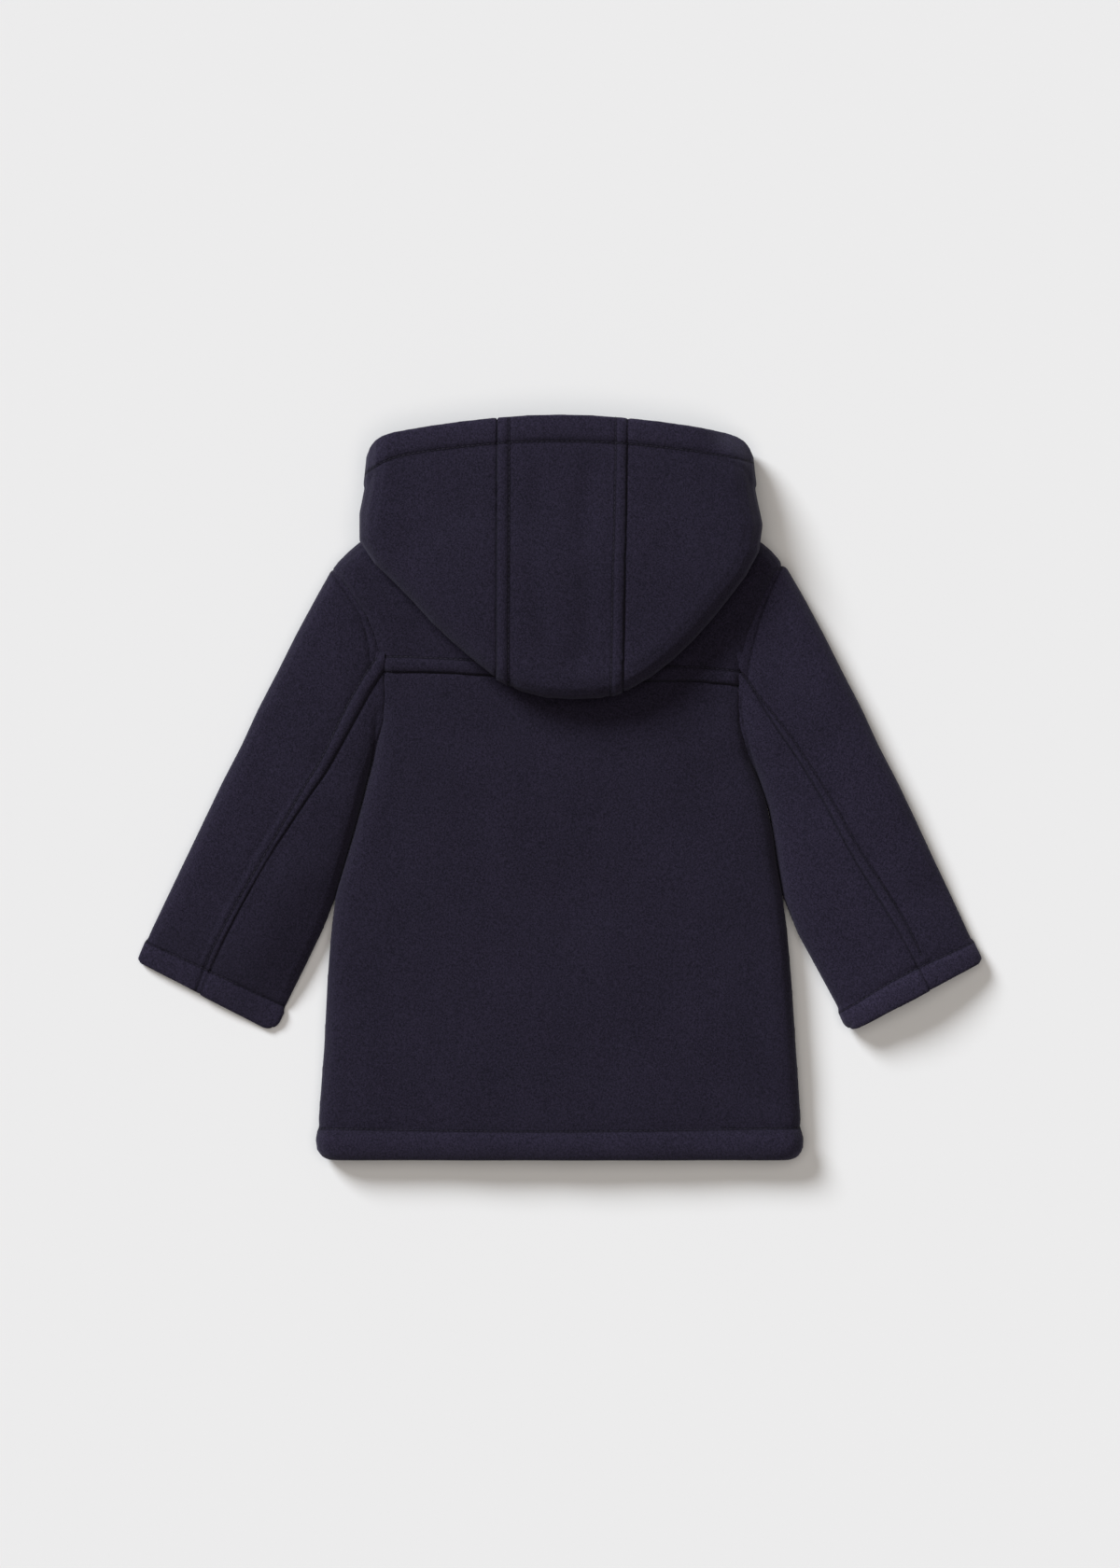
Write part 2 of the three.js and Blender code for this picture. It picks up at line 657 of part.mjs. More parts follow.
const HOOD_POINTS = 44; // corners round each of the hood's rings
const HOOD_SHARES = [0.75, 0.5, 0.25]; // its rings inside the rounded fold
const HOOD_ROLL_ANGLES = [0, 30, 60, 90]; // its rings round the fold, in degrees
const HOOD_LAP_LOW = 36; // the laps show on the upper layer, above this height
const HOOD_NECK_TOP = 38; // the neck opens the hood's lower layer, below this height
const FLAP_TOP = 30; // the flaps underneath end below this height
const SEAM_RUN = 40; // how far a hood seam's line is drawn past its ends
const hoodTop = track(HOOD_RISE, "y", "top");
const hoodUnder = track(HOOD_RISE, "y", "under");

// The hood's fold as an even smooth loop, moved outwards by a distance.
function hoodLoop(grow) {
  const corners = HOOD_FOLD.map(({ x, y }) => new THREE.Vector3(x, y, 0));
  const curve = new THREE.CatmullRomCurve3(corners, true, "centripetal");
  return Array.from({ length: HOOD_POINTS }, (_, i) => {
    const point = curve.getPointAt(i / HOOD_POINTS);
    const along = curve.getTangentAt(i / HOOD_POINTS);
    return { x: point.x + along.y * grow, y: point.y - along.x * grow };
  });
}

// Height of the hood's upper layer at a place.
function hoodTopAt(x, y) {
  return hoodTop(y) - HOOD_SIDE_FALL * Math.min(Math.abs(x) / HOOD_HALF, 1) ** 2.4;
}

// The hood's outer form: rings round its fold, over the upper layer to the middle and
// under the lower layer to the middle.
function hoodForm(grow) {
  const loop = hoodLoop(grow);
  const rolls = HOOD_ROLL_ANGLES.map((degrees) => (degrees * Math.PI) / 180);
  const place = ({ x, y }, inward) => {
    const toX = HOOD_CENTRE.x - x;
    const toY = HOOD_CENTRE.y - y;
    const length = Math.hypot(toX, toY);
    return { x: x + (toX / length) * inward, y: y + (toY / length) * inward };
  };
  const roll = HOOD_ROLL + grow;
  const corners = [];
  const addRing = (height, inwardOf) => {
    loop.forEach((point) => {
      const inward = inwardOf(Math.hypot(HOOD_CENTRE.x - point.x, HOOD_CENTRE.y - point.y));
      const { x, y } = place(point, inward);
      corners.push([x, y, height(x, y)]);
    });
  };
  const top = (x, y) => hoodTopAt(x, y) + grow;
  const under = (x, y) => Math.max(hoodUnder(y), 0) - grow;
  const fold = (x, y) => under(x, y) + (top(x, y) - under(x, y)) * 0.5;
  const ringHeights = (surface, angle) => (x, y) => {
    const level = fold(x, y);
    return level + (surface(x, y) - level) * Math.sin(angle);
  };
  const within = (share) => (length) => length - (length - roll) * share;
  [...HOOD_SHARES].reverse().forEach((share) => addRing(under, within(share)));
  [...rolls].reverse().forEach((angle) => {
    addRing(ringHeights(under, angle), () => roll * (1 - Math.cos(angle)));
  });
  rolls.slice(1).forEach((angle) => {
    addRing(ringHeights(top, angle), () => roll * (1 - Math.cos(angle)));
  });
  HOOD_SHARES.forEach((share) => addRing(top, within(share)));
  return closeRings(corners, HOOD_POINTS);
}

// A solid from rings that run from the middle of its underside to the middle of its top.
function closeRings(corners, count) {
  const rings = [];
  for (let start = 0; start < corners.length; start += count) {
    rings.push(corners.slice(start, start + count));
  }
  return loft(rings);
}

// One of the hood's two seams in plan, drawn past both ends.
function hoodSeam(side) {
  const { y0, left0, right0, y1, left1, right1 } = HOOD_SEAMS;
  const ends = side < 0 ? [left0, left1] : [right0, right1];
  const tilt = (ends[0] - ends[1]) / (y0 - y1);
  return [
    { x: ends[0] + tilt * SEAM_RUN, y: y0 + SEAM_RUN },
    { x: ends[1] - tilt * SEAM_RUN, y: y1 - SEAM_RUN },
  ];
}

// The face edge over the hood, from side to side, moved down by a distance.
function faceLine(down) {
  const count = 10;
  const { middle, sideFall, halfWidth } = FACE_EDGE;
  const over = Array.from({ length: count + 1 }, (_, i) => {
    const u = -1 + (2 * i) / count;
    return { x: halfWidth * u, y: middle - sideFall * Math.abs(u) ** 1.8 - down };
  });
  const right = shifted(FACE_CORNER, 0, -down);
  const left = right.map(({ x, y }) => ({ x: -x, y }));
  return [...left, ...over, ...right.reverse()];
}

// Everything past the face edge in plan, moved down by a distance.
function beyondFace(down) {
  return [...faceLine(down), { x: FAR, y: FAR }, { x: -FAR, y: FAR }];
}

// Everything beyond the hood's face edge, over it and underneath.
function faceOpening() {
  const flap = FLAP_EDGE.map(({ x, y }) => ({ x: -x, y }));
  const under = [...flap.reverse(), ...FLAP_EDGE, { x: FAR, y: FAR }, { x: -FAR, y: FAR }];
  return prism(beyondFace(0), CUT_LOW, CUT_TOP).add(prism(under, CUT_LOW, FLAP_TOP));
}

// The coat's body as the hood lies on it, with the raised edge of the yoke.
function bodyUnderHood(clearance) {
  const skirt = 6;
  const lap = bodyForm(clearance + PROUD, { skirt }).intersect(
    prism(yokeLapZone(clearance), MIDDLE_HEIGHT, CUT_TOP),
  );
  return bodyForm(clearance, { skirt }).add(lap);
}

// The narrow end of a hood side underneath, which runs along the front neck to the middle.
function neckTongue(side) {
  const neck = neckArc(FRONT_NECK_Y, 2 * SEAM_GAP, FLAP_EDGE[0].x / NECK_HALF, 1);
  const outline = [
    ...neck,
    { x: 78, y: 197 },
    { x: 74, y: 197 },
    FLAP_EDGE[1],
    FLAP_EDGE[0],
  ].map(({ x, y }) => ({ x: x * side, y }));
  return prism(outline, 0, CLOTH);
}

// The hood's three panels.
function hoodPanels() {
  const wall = hoodForm(0)
    .subtract(bodyUnderHood(SEAM_GAP))
    .subtract(hoodForm(-CLOTH).subtract(bodyUnderHood(CLOTH + SEAM_GAP)));
  const band = hoodForm(PROUD)
    .subtract(hoodForm(-CLOTH - TURNING))
    .intersect(prism(beyondFace(HOOD_HEM), MIDDLE_HEIGHT, CUT_TOP));
  const lapWall = hoodForm(PROUD).subtract(hoodForm(-LAP_ROOT));
  const laps = [-1, 1].map((side) => {
    const seam = hoodSeam(side);
    const zone = between(seam, moved(seam, -side * HOOD_LAP));
    return lapWall.intersect(prism(zone, HOOD_LAP_LOW, CUT_TOP));
  });
  const neck = prism(neckOutline(BACK_NECK_Y), CUT_LOW, HOOD_NECK_TOP);
  const whole = wall.add(band).add(laps[0]).add(laps[1]).subtract(neck).subtract(faceOpening());
  const sides = [-1, 1].map((side) => {
    const seam = hoodSeam(side);
    const outward = shifted(seam, side * FAR, 0);
    const outline = between(shifted(seam, (side * SEAM_GAP) / 2, 0), outward);
    return whole.intersect(prism(outline, CUT_LOW, CUT_TOP)).add(neckTongue(side));
  });
  const leftEdge = shifted(hoodSeam(-1), SEAM_GAP / 2, 0);
  const rightEdge = shifted(hoodSeam(1), -SEAM_GAP / 2, 0);
  const middle = prism(between(leftEdge, rightEdge), CUT_LOW, CUT_TOP);
  return { left: sides[0], centre: whole.intersect(middle), right: sides[1] };
}

// ---- the coat ----

const NAVY = new THREE.Color(0x24202e);
const NAVY_LIT = new THREE.Color(0x282634);
const NAVY_SHADED = new THREE.Color(0x1f1c25);

// A named panel of felted cloth.
function panel(name, solid, colour) {
  const mesh = solid.getMesh();
  const geometry = new THREE.BufferGeometry();
  geometry.setAttribute("position", new THREE.BufferAttribute(mesh.vertProperties, 3));
  geometry.setIndex(new THREE.BufferAttribute(mesh.triVerts, 1));
  const material = new THREE.MeshStandardMaterial({ color: colour, roughness: 0.95, metalness: 0 });
  const part = new THREE.Mesh(geometry, material);
  part.name = name;
  return part;
}

// The whole coat.
function buildCoat() {
  const coat = new THREE.Group();
  const { yoke, back } = backPanels();
  const leftSleeve = sleevePanels(-1, LEFT_SLEEVE, LEFT_BACK_SEAM);
  const rightSleeve = sleevePanels(1, RIGHT_SLEEVE, RIGHT_BACK_SEAM);
  const hood = hoodPanels();
  coat.add(
    panel("back_panel", back, NAVY),
    panel("back_yoke", yoke, NAVY),
    panel("front_left", frontLeft(), NAVY_SHADED),
    panel("front_right", frontRight(), NAVY_SHADED),
    panel("sleeve_left_upper", leftSleeve.upper, NAVY_LIT),
    panel("sleeve_left_under", leftSleeve.under, NAVY_SHADED),
    panel("sleeve_right_upper", rightSleeve.upper, NAVY_LIT),
    panel("sleeve_right_under", rightSleeve.under, NAVY_SHADED),
    panel("hood_left", hood.left, NAVY_LIT),
    panel("hood_centre", hood.centre, NAVY),
    panel("hood_right", hood.right, NAVY_LIT),
  );
  return coat;
}

export default buildCoat();
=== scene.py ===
"""A small child's hooded coat in navy felted cloth, laid flat with its back up.

Each panel of cloth is a finer, softer copy of its CAD node: the edges are rounded as thick felt
rounds, the topstitched lines are pressed into the outer face, the cloth has its soft creases,
and rows of thread and a short nap lie on it.
"""

import json
import logging
import math
from dataclasses import dataclass, field
from enum import Enum

import bmesh
import bpy
import numpy as np
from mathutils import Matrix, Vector
from mathutils.bvhtree import BVHTree

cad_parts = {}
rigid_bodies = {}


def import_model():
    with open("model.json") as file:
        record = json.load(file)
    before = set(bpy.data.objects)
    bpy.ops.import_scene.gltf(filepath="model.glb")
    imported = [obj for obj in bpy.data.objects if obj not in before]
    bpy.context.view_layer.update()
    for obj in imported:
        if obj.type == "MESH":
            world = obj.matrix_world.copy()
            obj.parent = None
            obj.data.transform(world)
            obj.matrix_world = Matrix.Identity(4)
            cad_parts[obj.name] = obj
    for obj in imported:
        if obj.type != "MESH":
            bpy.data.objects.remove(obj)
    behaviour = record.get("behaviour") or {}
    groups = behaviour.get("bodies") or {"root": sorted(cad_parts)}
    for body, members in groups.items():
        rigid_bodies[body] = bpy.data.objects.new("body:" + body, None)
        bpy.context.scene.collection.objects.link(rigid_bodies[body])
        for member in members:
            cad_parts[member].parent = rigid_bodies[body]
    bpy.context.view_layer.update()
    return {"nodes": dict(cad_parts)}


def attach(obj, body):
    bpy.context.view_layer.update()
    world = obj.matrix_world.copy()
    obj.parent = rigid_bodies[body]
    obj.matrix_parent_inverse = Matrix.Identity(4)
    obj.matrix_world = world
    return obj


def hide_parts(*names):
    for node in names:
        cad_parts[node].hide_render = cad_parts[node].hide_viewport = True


for startup_object in list(bpy.data.objects):
    bpy.data.objects.remove(startup_object)

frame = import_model()

LOG = logging.getLogger("hooded_coat")
MM = 0.001
# Distances to the lines along which shade is painted into the felt, and to the hems' middles.
STITCH_ATTRIBUTE = "stitch_distance"
SEAM_ATTRIBUTE = "seam_distance"
BAND_ATTRIBUTE = "band_distance"

MERGE_GAP = 0.002 * MM  # corners of a node nearer than this are one corner
FLOOR_GAP = 0.2 * MM  # how far over the floor the lowest cloth stays
FAR = 50.0  # the distance noted where no line is near, in millimetres
LAYER_BLUR = 5.0  # how softly a crease begins above its height, in millimetres
RELAX_SHARES = (0.5, -0.52)  # in, then a little further out, so that a form keeps its size
FACES_UP = 0.05  # a face whose normal has at least this much of +Z can be pressed
RAY_LIFT = 0.4 * MM  # how far off its own face a ray starts
ABOVE_ALL = 0.2  # a height over the whole coat, in metres

Point = tuple[float, float]  # seen from above, in millimetres
Line = tuple[Point, ...]
Colour = tuple[float, float, float]


class Slot(Enum):
    """The record's material slots."""

    BODY = "felted_cloth_body"
    SLEEVES = "felted_cloth_sleeves"
    HOOD = "felted_cloth_hood"


class Side(Enum):
    """The wearer's side that a sleeve is on."""

    LEFT = "left"
    RIGHT = "right"


# --------------------------------------------------------------------------- finishes


def new_material(name: str) -> tuple[bpy.types.Material, bpy.types.NodeTree, bpy.types.Node]:
    """Makes a material with one Principled shader.

    Args:
        name: The material's name.

    Returns:
        The material, its node tree and its shader.
    """
    material = bpy.data.materials.new(name)
    material.use_nodes = True
    tree = material.node_tree
    tree.nodes.clear()
    shader = tree.nodes.new("ShaderNodeBsdfPrincipled")
    output = tree.nodes.new("ShaderNodeOutputMaterial")
    tree.links.new(shader.outputs["BSDF"], output.inputs["Surface"])
    return material, tree, shader


def noise_node(
    tree: bpy.types.NodeTree,
    vector: bpy.types.NodeSocket,
    scale: float,
    detail: float,
    roughness: float = 0.5,
) -> bpy.types.NodeSocket:
    """Adds a noise texture.

    Args:
        tree: The node tree it goes in.
        vector: The coordinates that it reads.
        scale: Features per metre.
        detail: Octaves of finer noise.
        roughness: How strong the finer octaves are.

    Returns:
        The noise's value, from 0 to 1.
    """
    noise = tree.nodes.new("ShaderNodeTexNoise")
    noise.inputs["Scale"].default_value = scale
    noise.inputs["Detail"].default_value = detail
    noise.inputs["Roughness"].default_value = roughness
    tree.links.new(vector, noise.inputs["Vector"])
    return noise.outputs[0]


def mapped(
    tree: bpy.types.NodeTree,
    vector: bpy.types.NodeSocket,
    turn: float,
    stretch: tuple[float, float, float],
) -> bpy.types.NodeSocket:
    """Turns and stretches coordinates.

    Args:
        tree: The node tree.
        vector: The coordinates.
        turn: Turn about +Z, in radians.
        stretch: Scale along each axis.

    Returns:
        The new coordinates.
    """
    mapping = tree.nodes.new("ShaderNodeMapping")
    mapping.inputs["Rotation"].default_value = (0.0, 0.0, turn)
    mapping.inputs["Scale"].default_value = stretch
    tree.links.new(vector, mapping.inputs["Vector"])
    return mapping.outputs[0]


def math_node(
    tree: bpy.types.NodeTree,
    operation: str,
    first: bpy.types.NodeSocket,
    second: bpy.types.NodeSocket | float,
) -> bpy.types.NodeSocket:
    """Adds a maths node.

    Args:
        tree: The node tree.
        operation: The name of the operation, such as MULTIPLY.
        first: The first value.
        second: The second value, a socket or a number.

    Returns:
        The result.
    """
    node = tree.nodes.new("ShaderNodeMath")
    node.operation = operation
    tree.links.new(first, node.inputs[0])
    if isinstance(second, (int, float)):
        node.inputs[1].default_value = second
    else:
        tree.links.new(second, node.inputs[1])
    return node.outputs[0]


def ranged(
    tree: bpy.types.NodeTree,
    value: bpy.types.NodeSocket,
    source: tuple[float, float],
    target: tuple[float, float],
) -> bpy.types.NodeSocket:
    """Maps a value smoothly from one range to another, clamped.

    Args:
        tree: The node tree.
        value: The value.
        source: The range that it has.
        target: The range that it gets.

    Returns:
        The mapped value.
    """
    node = tree.nodes.new("ShaderNodeMapRange")
    node.interpolation_type = "SMOOTHSTEP"
    tree.links.new(value, node.inputs["Value"])
    node.inputs["From Min"].default_value = source[0]
    node.inputs["From Max"].default_value = source[1]
    node.inputs["To Min"].default_value = target[0]
    node.inputs["To Max"].default_value = target[1]
    return node.outputs["Result"]


def scaled(colour: Colour, factor: float) -> Colour:
    """Returns a colour made darker or lighter."""
    return tuple(channel * factor for channel in colour)


def mixed(
    tree: bpy.types.NodeTree,
    share: bpy.types.NodeSocket,
    first: Colour,
    second: Colour,
) -> bpy.types.NodeSocket:
    """Mixes two colours.

    Args:
        tree: The node tree.
        share: How much of the second colour there is, from 0 to 1.
        first: The first colour.
        second: The second colour.

    Returns:
        The mixed colour.
    """
    tint = tree.nodes.new("ShaderNodeMix")
    tint.data_type = "RGBA"
    tint.inputs["A"].default_value = (*first, 1.0)
    tint.inputs["B"].default_value = (*second, 1.0)
    tree.links.new(share, tint.inputs["Factor"])
    return tint.outputs["Result"]


@dataclass(frozen=True)
class NoiseLayer:
    """One layer of the nap's unevenness.

    Attributes:
        scale: Features per metre.
        detail: Octaves of finer noise.
        roughness: How strong the finer octaves are.
        share: Its share in the nap's colour.
        turn: Turn of its grain about +Z, in radians.
        stretch: Scale across, along and through its grain.
    """

    scale: float
    detail: float
    roughness: float
    share: float
    turn: float = 0.0
    stretch: tuple[float, float, float] = (1.0, 1.0, 1.0)

    def value(
        self, tree: bpy.types.NodeTree, place: bpy.types.NodeSocket
    ) -> bpy.types.NodeSocket:
        """Adds the layer to a material.

        Args:
            tree: The material's node tree.
            place: The coordinates on the cloth.

        Returns:
            The layer's value, from 0 to 1.
        """
        grained = mapped(tree, place, self.turn, self.stretch)
        return noise_node(tree, grained, self.scale, self.detail, self.roughness)


@dataclass(frozen=True)
class FeltFinish:
    """Felted wool-look cloth with a short nap, raised by brushing.

    Attributes:
        name: The material's name.
        painted_light_factor: Painted light and shade: how much lighter or darker this copy of the
            felt's colour is made, as light falls on its panels.
        deep: Colour between the tufts.
        bright: Colour of the tufts.
        roughness: How matt it is.
        specular: How strongly it shines.
        sheen: How light its nap looks edge-on.
        sheen_roughness: How widely that light spreads.
        sheen_tint: Colour of the nap edge-on.
        tuft: The finest unevenness.
        fleck: Longer flecks.
        cloud: Patches where the nap lies one way or the other.
        contrast: The part of their mixture's range that is drawn out to the two colours.
        groove_shade: Painted shade in a row of stitches: how dark the felt's colour is made there.
        groove_reach: Where that shade is full and where it has gone, in millimetres.
        seam_shade: Painted shade in a seam and where a sleeve goes under the body: how dark the
            felt's colour is made there.
        seam_reach: Where that shade is full and where it has gone.
        band_shade: How light it is on a turned hem.
        band_reach: Where that shade is full and where it has gone, from the hem's middle.
        bump: Strength of the nap's relief.
        nap: Height of the nap, in millimetres.
    """

    name: str
    # Painted light and shade: a factor on the felt's colour, set for each copy of the material.
    painted_light_factor: float = 1.0
    deep: Colour = (0.0044, 0.0036, 0.0086)
    bright: Colour = (0.0206, 0.0166, 0.0340)
    roughness: float = 0.95
    specular: float = 0.12
    sheen: float = 0.075
    sheen_roughness: float = 0.6
    sheen_tint: Colour = (0.62, 0.60, 0.85)
    tuft: NoiseLayer = NoiseLayer(1250.0, 3.0, 0.6, 0.46)
    fleck: NoiseLayer = NoiseLayer(860.0, 4.0, 0.65, 0.48, 0.35, (1.0, 0.75, 1.0))
    cloud: NoiseLayer = NoiseLayer(38.0, 3.0, 0.5, 0.06, -1.05, (1.0, 0.5, 1.0))
    contrast: tuple[float, float] = (0.355, 0.645)
    groove_shade: float = 0.42
    groove_reach: tuple[float, float] = (0.2, 1.5)
    seam_shade: float = 0.56
    seam_reach: tuple[float, float] = (0.1, 1.3)
    band_shade: float = 1.24
    band_reach: tuple[float, float] = (5.0, 11.0)
    bump: float = 0.5
    nap: float = 0.5

    def material(self) -> bpy.types.Material:
        """Builds the cloth's material from its nap, the shade painted along rows and seams, and its
        relief.

        Returns:
            The material.
        """
        material, tree, shader = new_material(self.name)
        place = tree.nodes.new("ShaderNodeTexCoord").outputs["Object"]
        tuft, fleck = self.tuft.value(tree, place), self.fleck.value(tree, place)
        tint = self._nap_colour(tree, tuft, fleck, self.cloud.value(tree, place))
        # Painted shade: the base colour is darkened along rows, seams and the body's edge over the
        # sleeves, and lightened on hems.
        shade = self._seams(tree)
        dark = tree.nodes.new("ShaderNodeVectorMath")
        dark.operation = "SCALE"
        tree.links.new(tint, dark.inputs[0])
        tree.links.new(shade, dark.inputs["Scale"])
        tree.links.new(dark.outputs["Vector"], shader.inputs["Base Color"])
        shader.inputs["Roughness"].default_value = self.roughness
        shader.inputs["Specular IOR Level"].default_value = self.specular
        self._relief(tree, shader, tuft, fleck)
        self._edge_light(tree, shader, shade)
        return material

    def _nap_colour(
        self,
        tree: bpy.types.NodeTree,
        tuft: bpy.types.NodeSocket,
        fleck: bpy.types.NodeSocket,
        cloud: bpy.types.NodeSocket,
    ) -> bpy.types.NodeSocket:
        """Colours the nap, darker between its tufts, with this copy's painted light and shade
        scaling both colours.

        Args:
            tree: The material's node tree.
            tuft: The finest noise.
            fleck: The longer flecks.
            cloud: The brushed patches.

        Returns:
            The colour.
        """
        fine = math_node(tree, "MULTIPLY", tuft, self.tuft.share)
        longer = math_node(tree, "MULTIPLY", fleck, self.fleck.share)
        broad = math_node(tree, "MULTIPLY", cloud, self.cloud.share)
        grain = math_node(tree, "ADD", math_node(tree, "ADD", fine, longer), broad)
        share = ranged(tree, grain, self.contrast, (0.0, 1.0))
        return mixed(tree, share, scaled(self.deep, self.painted_light_factor), scaled(self.bright, self.painted_light_factor))

    def _seams(self, tree: bpy.types.NodeTree) -> bpy.types.NodeSocket:
        """Paints shade into the stitched rows, the seams and the body's edge over the sleeves, and
        lightens the turned hems.

        Args:
            tree: The material's node tree.

        Returns:
            The factor for the colour.
        """
        stitch = self._line_shade(tree, STITCH_ATTRIBUTE, self.groove_reach, self.groove_shade)
        sewn = self._line_shade(tree, SEAM_ATTRIBUTE, self.seam_reach, self.seam_shade)
        band = self._line_shade(tree, BAND_ATTRIBUTE, self.band_reach, self.band_shade)
        return math_node(tree, "MULTIPLY", math_node(tree, "MULTIPLY", stitch, sewn), band)

    @staticmethod
    def _line_shade(
        tree: bpy.types.NodeTree, name: str, reach: tuple[float, float], least: float
    ) -> bpy.types.NodeSocket:
        """Paints a factor into the nap's colour along the lines that an attribute measures: shade
        along rows and seams, a lighter tone on hems.

        Args:
            tree: The material's node tree.
            name: The attribute, a distance in millimetres.
            reach: Where the shade is full and where it has gone.
            least: The full shade's factor.

        Returns:
            The factor for the colour.
        """
        line = tree.nodes.new("ShaderNodeAttribute")
        line.attribute_name = name
        return ranged(tree, line.outputs["Fac"], reach, (least, 1.0))

    def _relief(
        self,
        tree: bpy.types.NodeTree,
        shader: bpy.types.Node,
        tuft: bpy.types.NodeSocket,
        fleck: bpy.types.NodeSocket,
    ) -> None:
        """Joins the nap's fine relief to the shader.

        Args:
            tree: The material's node tree.
            shader: The Principled shader.
            tuft: The finest noise.
            fleck: The longer flecks.
        """
        relief = math_node(tree, "ADD", tuft, fleck)
        bump = tree.nodes.new("ShaderNodeBump")
        bump.inputs["Strength"].default_value = self.bump
        bump.inputs["Distance"].default_value = self.nap * MM
        tree.links.new(relief, bump.inputs["Height"])
        tree.links.new(bump.outputs["Normal"], shader.inputs["Normal"])

    def _edge_light(
        self, tree: bpy.types.NodeTree, shader: bpy.types.Node, shade: bpy.types.NodeSocket
    ) -> None:
        """Gives the nap its sheen at the edges, weakened where shade is painted into the rows and
        seams.

        Args:
            tree: The material's node tree.
            shader: The Principled shader.
            shade: The factor of the painted shade, with the lighter hems.
        """
        rim = math_node(tree, "MULTIPLY", shade, self.sheen)
        tree.links.new(rim, shader.inputs["Sheen Weight"])
        shader.inputs["Sheen Roughness"].default_value = self.sheen_roughness
        shader.inputs["Sheen Tint"].default_value = (*self.sheen_tint, 1.0)


@dataclass(frozen=True)
class ThreadFinish:
    """Matt sewing thread in the cloth's own navy.

    Attributes:
        name: The material's name.
        colour: Its colour.
        spread: How dark and how light its strands get.
        twist: Turns of the strands per metre.
        roughness: How matt it is.
        specular: How strongly it shines.
    """

    name: str = "navy_thread"
    colour: Colour = (0.0130, 0.0110, 0.0220)
    spread: tuple[float, float] = (0.7, 1.4)
    twist: float = 2600.0
    roughness: float = 0.7
    specular: float = 0.25

    def material(self) -> bpy.types.Material:
        """Builds the thread's material, with a fine twist along it.

        Returns:
            The material.
        """
        material, tree, shader = new_material(self.name)
        place = tree.nodes.new("ShaderNodeTexCoord").outputs["Object"]
        strand = noise_node(tree, mapped(tree, place, 0.8, (1.0, 0.3, 1.0)), self.twist, 2.0)
        share = ranged(tree, strand, (0.3, 0.7), (0.0, 1.0))
        dark, light = (scaled(self.colour, factor) for factor in self.spread)
        tree.links.new(mixed(tree, share, dark, light), shader.inputs["Base Color"])
        shader.inputs["Roughness"].default_value = self.roughness
        shader.inputs["Specular IOR Level"].default_value = self.specular
        return material


@dataclass(frozen=True)
class FloorFinish:
    """A plain, pale, matt surface.

    Attributes:
        name: The material's name.
        colour: Its colour.
        spread: How dark and how light its clouds get.
        cloud: Clouds per metre.
    """

    name: str = "pale_floor"
    colour: Colour = (0.788, 0.794, 0.806)
    spread: tuple[float, float] = (0.997, 1.003)
    cloud: float = 6.0

    def material(self) -> bpy.types.Material:
        """Builds the floor's material, with a hardly visible unevenness.

        Returns:
            The material.
        """
        material, tree, shader = new_material(self.name)
        place = tree.nodes.new("ShaderNodeTexCoord").outputs["Object"]
        cloud = noise_node(tree, place, self.cloud, 2.0)
        dark, light = (scaled(self.colour, factor) for factor in self.spread)
        tree.links.new(mixed(tree, cloud, dark, light), shader.inputs["Base Color"])
        shader.inputs["Roughness"].default_value = 1.0
        shader.inputs["Specular IOR Level"].default_value = 0.0
        return material


# --------------------------------------------------------------------------- mesh helpers


def vertex_places(mesh: bpy.types.Mesh) -> np.ndarray:
    """Reads where a mesh's points are.

    Args:
        mesh: The mesh.

    Returns:
        An array with three columns.
    """
    places = np.empty(len(mesh.vertices) * 3, np.float64)
    mesh.vertices.foreach_get("co", places)
    return places.reshape(-1, 3)


def place_vertices(mesh: bpy.types.Mesh, places: np.ndarray) -> None:
    """Moves a mesh's points.

    Args:
        mesh: The mesh.
        places: Its points' new places, three columns.
    """
    mesh.vertices.foreach_set("co", places.astype(np.float32).ravel())
    mesh.update()


def vertex_normals(mesh: bpy.types.Mesh) -> np.ndarray:
    """Reads which way a mesh faces at its points.

    Args:
        mesh: The mesh.

    Returns:
        An array with three columns.
    """
    normals = np.empty(len(mesh.vertices) * 3, np.float32)
    mesh.vertex_normals.foreach_get("vector", normals)
    return normals.reshape(-1, 3).astype(np.float64)


def relaxed(mesh: bpy.types.Mesh, places: np.ndarray, passes: int) -> np.ndarray:
    """Evens out a surface without shrinking it.

    Args:
        mesh: The mesh, for its edges.
        places: Its points.
        passes: How many times each point moves in and out again.

    Returns:
        The new points.
    """
    edges = np.empty(len(mesh.edges) * 2, np.int64)
    mesh.edges.foreach_get("vertices", edges)
    first, second = edges.reshape(-1, 2).T
    count = len(places)
    degree = np.bincount(edges, minlength=count).reshape(-1, 1)
    for _ in range(passes):
        for share in RELAX_SHARES:
            total = np.column_stack(
                [
                    np.bincount(first, places[second, axis], count)
                    + np.bincount(second, places[first, axis], count)
                    for axis in range(3)
                ]
            )
            places = places + share * (total / degree - places)
    return places


def line_distance(places: np.ndarray, line: Line) -> np.ndarray:
    """Measures how far points lie from a line, seen from above.

    Args:
        places: The points, in metres.
        line: The line's corners, in millimetres.

    Returns:
        Each point's distance, in millimetres.
    """
    spots = places[:, :2] / MM
    nearest = np.full(len(spots), 1e9)
    for start, end in zip(line[:-1], line[1:]):
        base, run = np.array(start), np.array(end) - np.array(start)
        share = np.clip((spots - base) @ run / (run @ run), 0.0, 1.0)
        gap = np.linalg.norm(spots - base - share[:, None] * run, axis=1)
        nearest = np.minimum(nearest, gap)
    return nearest


